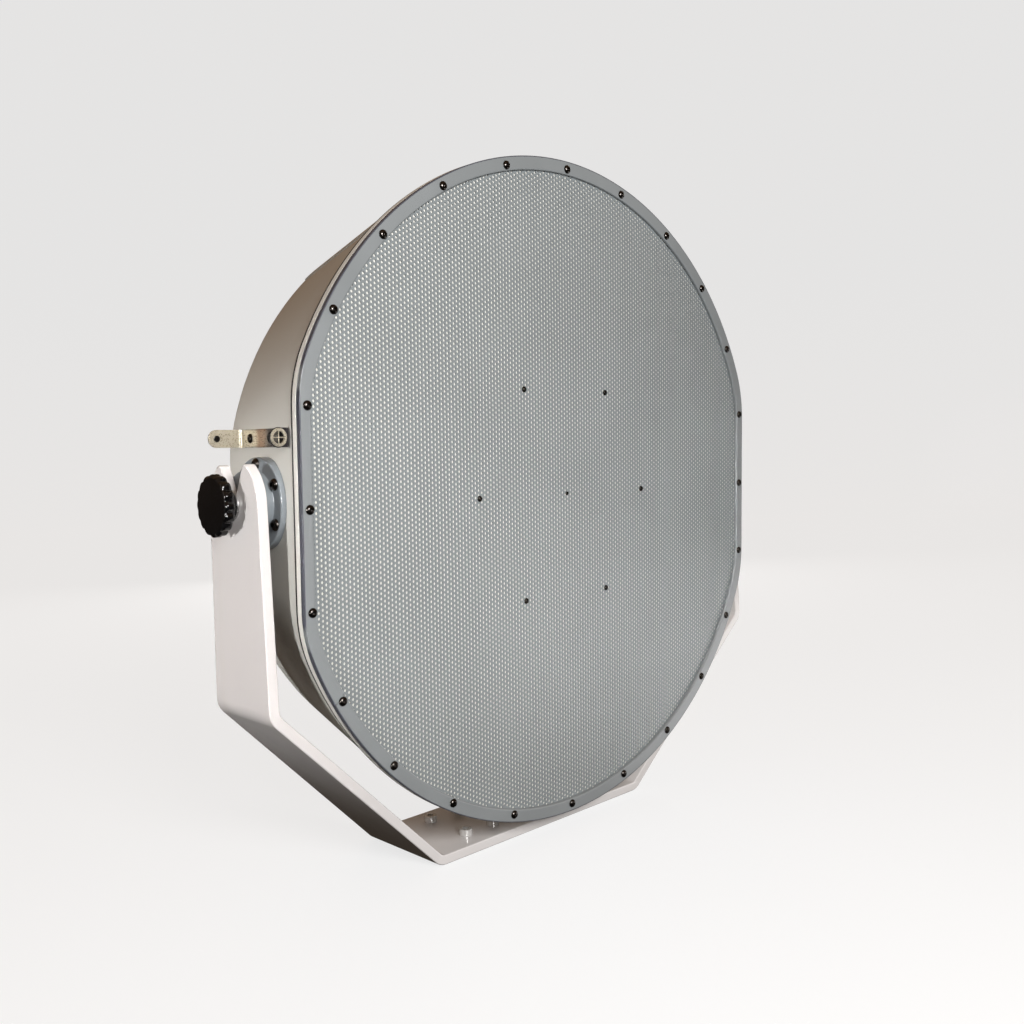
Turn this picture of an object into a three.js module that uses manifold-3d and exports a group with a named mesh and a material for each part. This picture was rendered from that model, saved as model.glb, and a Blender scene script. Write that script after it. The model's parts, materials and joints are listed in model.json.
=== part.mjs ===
// Directional hailing speaker: a flat-fronted drum head that tilts in a bent-bar yoke.
// Millimetres. +X is to the right seen from the front, +Y runs to the rear, +Z is up.
// The origin is the centre of the yoke base's underside.

import * as THREE from 'three';
import { mergeVertices } from 'three/addons/utils/BufferGeometryUtils.js';
import Module from 'manifold-3d';

const wasm = await Module();
wasm.setup();

// ---- driving dimensions: yoke ----
const YOKE_HALF_WIDTH = 428;      // to the outer faces of the arms
const BAR = 12;                   // thickness of the flat bar
const PIVOT_HEIGHT = 454.5;       // tilt axis above the base's underside
const UPPER_BEND_DROP = 223.5;    // sharp corner of the upper bend, below the tilt axis
const LOWER_BEND_X = 189;         // sharp corner of the lower bend
const BEND_RADIUS = 24;           // outside of every bend
const ARM_END_RADIUS = 51.5;      // the round end of an arm
const ARM_BEND_HALF = 57.2;       // half the bar's width at the upper bend
const BASE_HALF_DEPTH = 69.3;     // half the bar's width at the base
const BASE_SETBACK = 40.5;        // the base's centre line lies this far behind the tilt axis
const SLOT_HALF = 8.5;            // open slot that drops over the stud
const MOUTH_START = 12;           // the slot's mouth begins to flare here, above the axis
const MOUTH_ANGLE = THREE.MathUtils.degToRad(27);
const PRONG_TIP_RADIUS = 6;

// ---- driving dimensions: head, in its own frame, origin at the centre of the ring's front face ----
const HEAD_TILT = THREE.MathUtils.degToRad(1.76);   // the face looks slightly down at rest
const PIVOT_DEPTH = 86.3;         // tilt axis behind the ring's front face
const PIVOT_RISE = 4;             // tilt axis above the head's centre
const SCREW_CIRCLE = 409;         // rim screws
const SCREW_FLAT = 388.3;         // the same screws where the sides are flat
const RIM = { radius: 419, half: 397.5 };           // outline of ring, grille and baffle
const CORNER_BLEND = 160;         // radius that joins a flat side to the round part
const RING_BORE = { radius: 402.5, half: 383.5 };
const RING_DEPTH = 4.5;
const GRILLE_DEPTH = 1.2;
const SCREEN_DEPTH = 1;
const BAFFLE_DEPTH = 8;
const GASKET_DEPTH = 3.4;
const FIT = 0.3;                  // clearance between pieces that touch
const SCREEN = { radius: 395, half: 376 };
const GASKET = { radius: 418, half: 396.5 };        // swells out a little between its neighbours
const LIP = { radius: 397, half: 377 };             // opening inside the housing's front lip
const DRUM_FRONT = { radius: 416.5, half: 395.5 };
const DRUM_REAR = { radius: 374, half: 369.3 };
const DRUM_REAR_Y = 202.5;
const WALL = 3;
const RIM_SCREWS = 24;
const HEX_CIRCLE = 151.7;         // six screws near the middle

// ---- driving dimensions: trunnions, clamps, sight, back ----
const FLANGE_RADIUS = 49.7;
const FLANGE_FACE_X = 399;
const FLANGE_EDGE = 1.2;          // chamfer round the disc
const HUB_RADIUS = 35;
const STUD_RADIUS = 8;
const STUD_END_X = 446;
const WASHER_RADIUS = 16;
const WASHER_DEPTH = 3;
const KNOB_RADIUS = 33;
const KNOB_LOBES = 16;
const KNOB_HEAD = 12.5;           // thickness of the fluted head
const KNOB_EDGE = 2.4;            // chamfer on both of its faces
const KNOB_FLUTE = 1.6;
const KNOB_STEM = { radius: 12.5, length: 9 };
const SIGHT_Z = 74;               // above the head's centre
const SIGHT_WIDTH = 20;
const SIGHT_SHEET = 2;
const SIGHT_LINE_X = 409;         // line of sight, out from the centre
const SIGHT_FRONT_Y = 22.6;
const SIGHT_REAR_Y = 153;
const SIGHT_SCREW_Y = 126;
const SIGHT_BORE = 2.4;
const SIGHT_HOLE = { front: 7, rear: 3.6 };
const SIGHT_SCREW = { shank: 2, foot: 5.4, top: 4, rise: 2.8, length: 8 };
const CROSS_HAIR = { outer: 9.6, bore: 6.4, wire: 0.6, depth: 1.5 };
const DRIVER_CIRCLE = 240;
const DRIVER_COUNT = 6;
const DRIVER_MOUTH = 92;          // opening in the baffle
const HORN = { mouth: 93, throat: 14, length: 52, flange: 12, flangeDepth: 4, wall: 6 };
const MAGNET = { radius: 56, depth: 46 };
const SERVICE = { width: 330, height: 260 };        // opening in the rear wall
const COVER = { width: 380, height: 310, depth: 4 };
const FINS = { count: 15, pitch: 18, thick: 3, depth: 20, height: 200, rise: 30 };
const HANDLE = { x: 272, half: 85, reach: 42, radius: 6.5, bend: 12, straight: 45 };
const INLET = { x: 120, z: -110, flange: 18, flangeDepth: 3, collar: 14, bore: 11.5, depth: 20, floor: 8 };
const BOARD = { width: 280, height: 190, depth: 2, standoff: 20 };
const POST = { x: 120, z: 80, radius: 5 };
const TRANSFORMER = { width: 70, depth: 40, height: 60, x: -60, z: -20 };
const CAPACITORS = { width: 50, depth: 30, height: 90, x: 70, z: 10 };

const ARC_STEPS = 24;             // on each of an outline's two arcs
const BLEND_STEPS = 3;            // on each of its rounded corners
const BEND_STEPS = 4;
const MARGIN = 1;                 // how far a cutting or joined solid reaches past a surface

const PIVOT_Y = -BASE_SETBACK;

// ---- finishes ----
function finish(color, roughness, metalness) {
  return new THREE.MeshStandardMaterial({ color, roughness, metalness });
}
const FINISH = {
  yoke: finish(0xd9d5d2, 0.5, 0),
  ring: finish(0x7f8c94, 0.45, 0.1),
  grille: finish(0x7f8a91, 0.5, 0.2),
  screen: finish(0xe8e8e4, 0.9, 0),
  housing: finish(0xb9b8ae, 0.5, 0),
  gasket: finish(0x1d1b1a, 0.8, 0),
  blackScrew: finish(0x141414, 0.25, 0.8),
  trunnion: finish(0x6f7c83, 0.45, 0.1),
  stud: finish(0xb5b5b5, 0.3, 1),
  knob: finish(0x0b0b0c, 0.35, 0),
  sight: finish(0xb8aa86, 0.35, 0.9),
  driver: finish(0x2b2b2d, 0.6, 0.2),
  board: finish(0x27573a, 0.6, 0),
};

// ---- solids ----
const group = new THREE.Group();
const head = new THREE.Group();
const headFrame = new THREE.Group();
head.position.set(0, PIVOT_Y, PIVOT_HEIGHT);
head.rotation.x = HEAD_TILT;
headFrame.position.set(0, -PIVOT_DEPTH, -PIVOT_RISE);
head.add(headFrame);
group.add(head);

function addPiece(parent, name, geometry, material) {
  const mesh = new THREE.Mesh(geometry, material);
  mesh.name = name;
  parent.add(mesh);
  return mesh;
}

function bare(geometry) {
  geometry.deleteAttribute('normal');
  geometry.deleteAttribute('uv');
  return mergeVertices(geometry, 1e-4);
}

function toSolid(geometry) {
  const merged = bare(geometry);
  const vertProperties = new Float32Array(merged.attributes.position.array);
  const triVerts = new Uint32Array(merged.index.array);
  return new wasm.Manifold(new wasm.Mesh({ numProp: 3, vertProperties, triVerts }));
}

function toGeometry(solid) {
  const mesh = solid.getMesh();
  const geometry = new THREE.BufferGeometry();
  geometry.setAttribute('position', new THREE.BufferAttribute(mesh.vertProperties, 3));
  geometry.setIndex(new THREE.BufferAttribute(mesh.triVerts, 1));
  return geometry;
}

function cut(base, ...tools) {
  return toGeometry(tools.reduce((solid, tool) => solid.subtract(toSolid(tool)), toSolid(base)));
}

function join(base, ...others) {
  return toGeometry(others.reduce((solid, other) => solid.add(toSolid(other)), toSolid(base)));
}

// Points on an arc from one angle towards another, without its last point.
function arcPoints(x, z, radius, start, end, steps) {
  return Array.from({ length: steps }, (_, i) => {
    const angle = start + ((end - start) * i) / steps;
    return new THREE.Vector2(x + radius * Math.cos(angle), z + radius * Math.sin(angle));
  });
}

// A circle of the given radius, cut flat at x = +-half, with its four corners rounded.
function outlinePoints({ radius, half }) {
  const across = half - CORNER_BLEND;
  const rise = Math.sqrt((radius - CORNER_BLEND) ** 2 - across ** 2);
  const corner = Math.atan2(rise, across);
  const upper = [
    ...arcPoints(across, rise, CORNER_BLEND, 0, corner, BLEND_STEPS),
    ...arcPoints(0, 0, radius, corner, Math.PI - corner, ARC_STEPS),
    ...arcPoints(-across, rise, CORNER_BLEND, Math.PI - corner, Math.PI, BLEND_STEPS),
    new THREE.Vector2(-half, rise),
  ];
  return [...upper, ...upper.map((point) => point.clone().negate())];
}

// A flat plate in the XZ plane, from y to y + depth.
function plate(shape, y, depth) {
  const geometry = new THREE.ExtrudeGeometry(shape, { depth, bevelEnabled: false, curveSegments: 8 });
  geometry.rotateX(Math.PI / 2);
  geometry.translate(0, y + depth, 0);
  return geometry;
}

function roundHole(x, z, radius, sides = 4) {
  const points = [];
  for (let i = 0; i < sides; i++) {
    const angle = (-2 * Math.PI * i) / sides;
    points.push(new THREE.Vector2(x + radius * Math.cos(angle), z + radius * Math.sin(angle)));
  }
  return new THREE.Path(points);
}

// A drum between two outlines of the same kind.
function drum(front, frontY, rear, rearY) {
  const rings = [[front, frontY], [rear, rearY]].map(([outline, y]) =>
    outlinePoints(outline).map((point) => [point.x, y, point.y]));
  const count = rings[0].length;
  const positions = [...rings[0], ...rings[1], [0, frontY, 0], [0, rearY, 0]].flat();
  const index = [];
  for (let i = 0; i < count; i++) {
    const next = (i + 1) % count;
    index.push(i, count + next, next);
    index.push(i, count + i, count + next);
    index.push(2 * count, i, next);
    index.push(2 * count + 1, count + next, count + i);
  }
  const geometry = new THREE.BufferGeometry();
  geometry.setAttribute('position', new THREE.Float32BufferAttribute(positions, 3));
  geometry.setIndex(index);
  return geometry;
}

// A turned piece: points are [radius, distance along the axis]; the axis runs along +Y.
function turned(points, segments) {
  return new THREE.LatheGeometry(points.map(([r, y]) => new THREE.Vector2(r, y)), segments);
}

// The same, with its axis along X: side is +1 for the right, -1 for the left.
function turnedSideways(points, segments, side) {
  const geometry = turned(points, segments);
  geometry.rotateZ(-side * Math.PI / 2);
  return geometry;
}

function moved(geometry, x, y, z) {
  geometry.translate(x, y, z);
  return geometry;
}

// A box by its sizes along X, Y and Z and its centre.
function block(width, depth, height, x, y, z) {
  return moved(new THREE.BoxGeometry(width, depth, height), x, y, z);
}

// ---- screw positions on the front ----
function rimScrewPositions() {
  const positions = [];
  for (let i = 0; i < RIM_SCREWS; i++) {
    const angle = (2 * Math.PI * i) / RIM_SCREWS;
    const x = SCREW_CIRCLE * Math.cos(angle);
    const z = SCREW_CIRCLE * Math.sin(angle);
    positions.push([THREE.MathUtils.clamp(x, -SCREW_FLAT, SCREW_FLAT), z]);
  }
  return positions;
}

function middleScrewPositions() {
  const positions = [[0, 0]];
  for (let i = 0; i < 6; i++) {
    const angle = (Math.PI * i) / 3;
    positions.push([HEX_CIRCLE * Math.cos(angle), HEX_CIRCLE * Math.sin(angle)]);
  }
  return positions;
}

const RIM_HOLE = 4.4;
const MIDDLE_HOLE = 3.2;
const RIM_POSITIONS = rimScrewPositions();
const MIDDLE_POSITIONS = middleScrewPositions();

function pierce(shape, positions, radius, sides) {
  for (const [x, z] of positions) shape.holes.push(roundHole(x, z, radius, sides));
  return shape;
}

// ---- the front stack: depths of each layer's front face ----
const GRILLE_Y = RING_DEPTH + FIT;
const BAFFLE_Y = GRILLE_Y + GRILLE_DEPTH + FIT;
const SCREEN_Y = BAFFLE_Y + FIT;
const POCKET = SCREEN_DEPTH + 2 * FIT;              // recess in the baffle for the screen
const GASKET_Y = BAFFLE_Y + BAFFLE_DEPTH + FIT;
const DRUM_Y = GASKET_Y + GASKET_DEPTH + FIT;

function trimRing() {
  const shape = new THREE.Shape(outlinePoints(RIM));
  shape.holes.push(new THREE.Path(outlinePoints(RING_BORE).reverse()));
  return plate(pierce(shape, RIM_POSITIONS, RIM_HOLE), 0, RING_DEPTH);
}

function grille() {
  const shape = pierce(new THREE.Shape(outlinePoints(RIM)), RIM_POSITIONS, RIM_HOLE);
  return plate(pierce(shape, MIDDLE_POSITIONS, MIDDLE_HOLE), GRILLE_Y, GRILLE_DEPTH);
}

function weatherScreen() {
  const shape = pierce(new THREE.Shape(outlinePoints(SCREEN)), MIDDLE_POSITIONS, MIDDLE_HOLE);
  return plate(shape, SCREEN_Y, SCREEN_DEPTH);
}

function driverPositions() {
  const positions = [];
  for (let i = 0; i < DRIVER_COUNT; i++) {
    const angle = (2 * Math.PI * (i + 0.5)) / DRIVER_COUNT;
    positions.push([DRIVER_CIRCLE * Math.cos(angle), DRIVER_CIRCLE * Math.sin(angle)]);
  }
  return positions;
}

function bafflePlate() {
  const shape = pierce(new THREE.Shape(outlinePoints(RIM)), RIM_POSITIONS, RIM_HOLE);
  pierce(shape, MIDDLE_POSITIONS, MIDDLE_HOLE);
  pierce(shape, driverPositions(), DRIVER_MOUTH, 16);
  const recess = { radius: SCREEN.radius + MARGIN, half: SCREEN.half + MARGIN };
  const pocket = plate(new THREE.Shape(outlinePoints(recess)), BAFFLE_Y - MARGIN, POCKET + MARGIN);
  return cut(plate(shape, BAFFLE_Y, BAFFLE_DEPTH), pocket);
}

function frontGasket() {
  const shape = new THREE.Shape(outlinePoints(GASKET));
  shape.holes.push(new THREE.Path(outlinePoints(LIP).reverse()));
  return plate(pierce(shape, RIM_POSITIONS, RIM_HOLE), GASKET_Y, GASKET_DEPTH);
}

// Half width of the housing's flat side at a given depth.
function flatSide(y) {
  const along = (y - DRUM_Y) / (DRUM_REAR_Y - DRUM_Y);
  return DRUM_FRONT.half + (DRUM_REAR.half - DRUM_FRONT.half) * along;
}

function rearHousing() {
  const within = ({ radius, half }) => ({ radius: radius - WALL, half: half - WALL });
  const outside = drum(DRUM_FRONT, DRUM_Y, DRUM_REAR, DRUM_REAR_Y);
  const inside = drum(within(DRUM_FRONT), DRUM_Y + WALL, within(DRUM_REAR), DRUM_REAR_Y - WALL);
  const mouth = drum(LIP, DRUM_Y - MARGIN, LIP, DRUM_Y + WALL + MARGIN);
  const service = block(SERVICE.width, 4 * WALL, SERVICE.height, 0, DRUM_REAR_Y, 0);
  const screws = RIM_POSITIONS.map(([x, z]) => {
    const hole = turned([[0, -WALL], [RIM_HOLE, -WALL], [RIM_HOLE, 2 * WALL], [0, 2 * WALL]], 4);
    return moved(hole, x, DRUM_Y, z);
  });
  return cut(outside, inside, mouth, service, sightScrewBore(), ...screws);
}

// The screw that holds the sight goes through its strip and the side wall.
function sightScrewBore() {
  const reach = 5 * WALL;
  const bore = turnedSideways([[0, -reach], [SIGHT_BORE, -reach], [SIGHT_BORE, reach], [0, reach]], 8, -1);
  return moved(bore, -flatSide(SIGHT_SCREW_Y), SIGHT_SCREW_Y, SIGHT_Z);
}

// ---- fasteners ----
function buttonScrew({ headRadius, headHeight, shankRadius, length }, segments = 8) {
  return turned([
    [0, -headHeight],
    [headRadius * 0.75, -headHeight * 0.82],
    [headRadius, 0],
    [shankRadius, 0],
    [shankRadius, length],
    [0, length],
  ], segments);
}
const RIM_SCREW = { headRadius: 5.25, headHeight: 3.2, shankRadius: 3, length: 20 };
const MIDDLE_SCREW = { headRadius: 3.8, headHeight: 2.4, shankRadius: 2, length: 8.5 };
const CENTRE_SCREW = { headRadius: 2.7, headHeight: 1.8, shankRadius: 1.6, length: 8.5 };

// ---- drivers and electronics ----
// A straight horn behind its opening in the baffle, with a round magnet on the throat.
function driver() {
  const { mouth, throat, length, flange, flangeDepth, wall } = HORN;
  const magnetFront = length + wall;
  const magnetBack = magnetFront + MAGNET.depth;
  const body = turned([
    [0, length], [throat, length], [mouth, 0], [mouth + flange, 0], [mouth + flange, flangeDepth],
    [mouth, wall], [throat + wall, length + flangeDepth], [MAGNET.radius, magnetFront],
    [MAGNET.radius, magnetBack], [0, magnetBack],
  ], 12);
  return moved(body, 0, BAFFLE_Y + BAFFLE_DEPTH + FIT, 0);
}

// A board on four posts from the rear wall, with its two heaviest components.
function amplifierBoard() {
  const boardY = DRUM_REAR_Y - BOARD.standoff;
  const componentY = boardY + MARGIN;
  const component = ({ width, depth, height, x, z }) =>
    block(width, depth, height, x, componentY - depth / 2, z);
  const posts = [];
  for (const x of [-POST.x, POST.x]) {
    for (const z of [-POST.z, POST.z]) {
      const profile = [[0, 0], [POST.radius, 0], [POST.radius, BOARD.standoff], [0, BOARD.standoff]];
      posts.push(moved(turned(profile, 8), x, boardY, z));
    }
  }
  const sheet = block(BOARD.width, BOARD.depth, BOARD.height, 0, boardY, 0);
  return join(sheet, ...posts, component(TRANSFORMER), component(CAPACITORS));
}

function backCover() {
  const plateY = DRUM_REAR_Y + FIT;
  const root = MARGIN + 0.5;                        // the fins' common base
  const points = [];
  const left = -((FINS.count - 1) * FINS.pitch) / 2;
  for (let i = 0; i < FINS.count; i++) {
    const x = left + i * FINS.pitch;
    points.push([x - FINS.thick / 2, root], [x - FINS.thick / 2, FINS.depth]);
    points.push([x + FINS.thick / 2, FINS.depth], [x + FINS.thick / 2, root]);
  }
  const edge = -left + FINS.thick;
  const section = [[-edge, -MARGIN], [-edge, root], ...points, [edge, root], [edge, -MARGIN]];
  const comb = new THREE.Shape(section.map(([x, y]) => new THREE.Vector2(x, y)));
  const fins = new THREE.ExtrudeGeometry(comb, { depth: FINS.height, bevelEnabled: false });
  fins.translate(0, plateY + COVER.depth, FINS.rise - FINS.height / 2);
  return join(block(COVER.width, COVER.depth, COVER.height, 0, plateY + COVER.depth / 2, 0), fins);
}

function inletSocket() {
  const { flange, flangeDepth, collar, bore, depth, floor } = INLET;
  const inlet = turned([
    [0, 0], [flange, 0], [flange, flangeDepth], [collar, flangeDepth], [collar, depth], [bore, depth],
    [bore, floor], [0, floor],
  ], 20);
  return moved(inlet, INLET.x, DRUM_REAR_Y + COVER.depth + 2 * FIT, INLET.z);
}

// A round bar bent to a D, both ends on the rear wall.
function carryHandle(side) {
  const { half, reach, radius, bend, straight } = HANDLE;
  const footY = DRUM_REAR_Y + FIT;
  const x = side * HANDLE.x;
  const lower = [[0, half], [reach * 0.6, half], [reach - 2, half - bend], [reach, straight]];
  const upper = lower.map(([out, z]) => [out, -z]).reverse();
  const points = [...lower, [reach, 0], ...upper].map(([out, z]) => new THREE.Vector3(x, footY + out, -z));
  const route = new THREE.CatmullRomCurve3(points, false, 'catmullrom', 0.4);
  const section = new THREE.Shape();
  section.absarc(0, 0, radius, 0, 2 * Math.PI);
  const bar = new THREE.ExtrudeGeometry(section, { steps: 18, curveSegments: 4, extrudePath: route });
  const behindWall = block(4 * radius, 4 * radius, 4 * half, x, footY - 2 * radius, 0);
  return cut(bar, behindWall);
}

// ---- trunnions and clamps: side is +1 for the right, -1 for the left ----
const ARM_OUTER = YOKE_HALF_WIDTH;
const ARM_INNER = YOKE_HALF_WIDTH - BAR;
const WASHER_X = ARM_OUTER + FIT;
const KNOB_X = WASHER_X + WASHER_DEPTH + FIT;
const STUD_ROOT_X = FLANGE_FACE_X + MARGIN;
const BORE = STUD_RADIUS + 0.5;

// Disc and hub in one, with its back cut to lie on the sloping wall. The axis is the tilt axis.
function trunnionFlange(side) {
  const back = flatSide(PIVOT_DEPTH) - MARGIN;
  const hubEnd = ARM_INNER - FIT;
  const geometry = turnedSideways([
    [0, back], [FLANGE_RADIUS, back], [FLANGE_RADIUS, FLANGE_FACE_X - FLANGE_EDGE],
    [FLANGE_RADIUS - FLANGE_EDGE, FLANGE_FACE_X], [HUB_RADIUS, FLANGE_FACE_X], [HUB_RADIUS, hubEnd],
    [BORE, hubEnd], [BORE, STUD_ROOT_X - FIT], [0, STUD_ROOT_X - FIT],
  ], 28, side);
  const place = geometry.attributes.position;
  for (let i = 0; i < place.count; i++) {
    const onWall = Math.abs(place.getX(i)) < back + 0.01;
    if (onWall) place.setX(i, side * (flatSide(PIVOT_DEPTH + place.getY(i)) + FIT));
  }
  return geometry;
}

function stud(side) {
  return turnedSideways([
    [0, STUD_ROOT_X], [STUD_RADIUS, STUD_ROOT_X], [STUD_RADIUS, STUD_END_X - MARGIN],
    [STUD_RADIUS - MARGIN, STUD_END_X], [0, STUD_END_X],
  ], 20, side);
}

function clampWasher(side) {
  const outer = WASHER_X + WASHER_DEPTH;
  return turnedSideways([
    [BORE, WASHER_X], [WASHER_RADIUS, WASHER_X], [WASHER_RADIUS, outer], [BORE, outer], [BORE, WASHER_X],
  ], 20, side);
}

// Black fluted knob: a lobed disc on a stem, with a blind bore for the stud.
function clampKnob(side) {
  const { radius: stemRadius, length: stemLength } = KNOB_STEM;
  const outline = [];
  const steps = KNOB_LOBES * 4;
  for (let i = 0; i < steps; i++) {
    const angle = (2 * Math.PI * i) / steps;
    const r = KNOB_RADIUS - KNOB_FLUTE * (0.5 - 0.5 * Math.cos(KNOB_LOBES * angle)) ** 2;
    outline.push(new THREE.Vector2(r * Math.cos(angle), r * Math.sin(angle)));
  }
  const disc = new THREE.ExtrudeGeometry(new THREE.Shape(outline), {
    depth: KNOB_HEAD - 2 * KNOB_EDGE,
    bevelThickness: KNOB_EDGE,
    bevelSize: KNOB_EDGE,
    bevelOffset: -KNOB_EDGE,
    bevelSegments: 1,
  });
  disc.rotateY(Math.PI / 2);
  disc.translate(KNOB_X + stemLength + KNOB_EDGE, 0, 0);
  const stemEnd = KNOB_X + stemLength + MARGIN;
  const stem = turnedSideways([
    [0, KNOB_X], [stemRadius, KNOB_X], [stemRadius, stemEnd], [0, stemEnd],
  ], 20, 1);
  const boreStart = KNOB_X - MARGIN;
  const boreEnd = STUD_END_X + 1.5;
  const bore = turnedSideways([[0, boreStart], [BORE, boreStart], [BORE, boreEnd], [0, boreEnd]], 20, 1);
  const knob = cut(join(disc, stem), bore);
  if (side < 0) knob.rotateY(Math.PI);
  return knob;
}

// ---- sight on the left side wall ----
function tab(rootX, holeRadius, y) {
  const half = SIGHT_WIDTH / 2;
  const shape = new THREE.Shape();
  shape.moveTo(-rootX, -half);
  shape.lineTo(-rootX, half);
  shape.lineTo(-SIGHT_LINE_X, half);
  shape.absarc(-SIGHT_LINE_X, 0, half, Math.PI / 2, (3 * Math.PI) / 2);
  shape.holes.push(roundHole(-SIGHT_LINE_X, 0, holeRadius, 16));
  return moved(plate(shape, y, SIGHT_SHEET), 0, 0, SIGHT_Z);
}

function sightBracket() {
  const inner = (y) => -(flatSide(y) + FIT);
  const outer = (y) => inner(y) - SIGHT_SHEET;
  const [front, rear] = [SIGHT_FRONT_Y, SIGHT_REAR_Y + SIGHT_SHEET];
  const strip = new THREE.Shape([[inner(front), front], [inner(rear), rear], [outer(rear), rear],
    [outer(front), front]].map(([x, y]) => new THREE.Vector2(x, y)));
  const base = new THREE.ExtrudeGeometry(strip, { depth: SIGHT_WIDTH, bevelEnabled: false });
  base.translate(0, 0, SIGHT_Z - SIGHT_WIDTH / 2);
  const frontTab = tab(flatSide(front) + MARGIN, SIGHT_HOLE.front, SIGHT_FRONT_Y);
  const rearTab = tab(flatSide(rear) + MARGIN, SIGHT_HOLE.rear, SIGHT_REAR_Y);
  return cut(join(base, frontTab, rearTab), sightScrewBore());
}

function sightScrew() {
  const { shank, foot, top, rise, length } = SIGHT_SCREW;
  const seat = SIGHT_SHEET + 4 * FIT;               // under the head, clear of the sloping strip
  const end = seat - length;
  const screw = turnedSideways([
    [0, end], [shank, end], [shank, seat], [foot, seat], [top, seat + rise], [0, seat + rise],
  ], 8, -1);
  return moved(screw, -flatSide(SIGHT_SCREW_Y), SIGHT_SCREW_Y, SIGHT_Z);
}

function crossHair() {
  const { outer, bore, wire, depth } = CROSS_HAIR;
  const y = SIGHT_FRONT_Y - FIT - depth;
  const trim = Math.asin(wire / bore);
  const steps = 4;
  const openings = [0, 1, 2, 3].map((quarter) => {
    const points = [new THREE.Vector2(wire, wire)];
    for (let i = 0; i <= steps; i++) {
      const angle = trim + ((Math.PI / 2 - 2 * trim) * i) / steps;
      points.push(new THREE.Vector2(bore * Math.cos(angle), bore * Math.sin(angle)));
    }
    for (const point of points) point.rotateAround(new THREE.Vector2(), (quarter * Math.PI) / 2);
    return plate(new THREE.Shape(points), y - MARGIN, depth + 2 * MARGIN);
  });
  const disc = turned([[0, y], [outer, y], [outer, y + depth], [0, y + depth]], 16);
  return moved(cut(disc, ...openings), -SIGHT_LINE_X, 0, SIGHT_Z);
}

// ---- yoke, in its own frame with the tilt axis at y = 0, z = 0 ----
const BASE_Z = -PIVOT_HEIGHT;
const ARM_SPLIT = -20;            // the forked end is a separate solid above this height

// Front and rear edges of the bar at a given height.
function barEdges(z) {
  const stations = [
    [0, -ARM_END_RADIUS, ARM_END_RADIUS],
    [-UPPER_BEND_DROP, -ARM_BEND_HALF, ARM_BEND_HALF],
    [BASE_Z + BAR, BASE_SETBACK - BASE_HALF_DEPTH, BASE_SETBACK + BASE_HALF_DEPTH],
  ];
  if (z <= BASE_Z + BAR) return stations[2].slice(1);
  const upper = z > -UPPER_BEND_DROP ? 0 : 1;
  const [above, below] = [stations[upper], stations[upper + 1]];
  const t = (above[0] - z) / (above[0] - below[0]);
  return [1, 2].map((k) => above[k] + (below[k] - above[k]) * t);
}

// Centre line of the right half's outer face: arm, bend, slant, bend, base.
function barStations() {
  const corners = [
    new THREE.Vector2(YOKE_HALF_WIDTH, ARM_SPLIT),
    new THREE.Vector2(YOKE_HALF_WIDTH, -UPPER_BEND_DROP),
    new THREE.Vector2(LOWER_BEND_X, BASE_Z),
    new THREE.Vector2(0, BASE_Z),
  ];
  const stations = [{ point: corners[0], normal: new THREE.Vector2(-1, 0) }];
  for (let i = 1; i < corners.length - 1; i++) {
    const incoming = corners[i].clone().sub(corners[i - 1]).normalize();
    const outgoing = corners[i + 1].clone().sub(corners[i]).normalize();
    const turn = incoming.angleTo(outgoing);
    const start = corners[i].clone().addScaledVector(incoming, -BEND_RADIUS * Math.tan(turn / 2));
    const inward = new THREE.Vector2(incoming.y, -incoming.x);
    const centre = start.clone().addScaledVector(inward, BEND_RADIUS);
    for (let k = 0; k <= BEND_STEPS; k++) {
      const normal = inward.clone().rotateAround(new THREE.Vector2(), (-turn * k) / BEND_STEPS);
      stations.push({ point: centre.clone().addScaledVector(normal, -BEND_RADIUS), normal });
    }
  }
  const mirrored = stations.map(({ point, normal }) => ({
    point: new THREE.Vector2(-point.x, point.y), normal: new THREE.Vector2(-normal.x, normal.y),
  }));
  return [...stations, ...mirrored.reverse()];
}

function bentBar() {
  const positions = [];
  const index = [];
  const stations = barStations();
  for (const { point, normal } of stations) {
    const inside = point.clone().addScaledVector(normal, BAR);
    const [front, rear] = barEdges((point.y + inside.y) / 2);
    positions.push(point.x, front, point.y, point.x, rear, point.y);
    positions.push(inside.x, rear, inside.y, inside.x, front, inside.y);
  }
  for (let s = 0; s < stations.length - 1; s++) {
    for (let k = 0; k < 4; k++) {
      const a = 4 * s + k;
      const b = 4 * s + ((k + 1) % 4);
      index.push(a, b + 4, b, a, a + 4, b + 4);
    }
  }
  const last = 4 * (stations.length - 1);
  index.push(0, 1, 2, 0, 2, 3);
  index.push(last, last + 2, last + 1, last, last + 3, last + 2);
  const geometry = new THREE.BufferGeometry();
  geometry.setAttribute('position', new THREE.Float32BufferAttribute(positions, 3));
  geometry.setIndex(index);
  return geometry;
}

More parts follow.
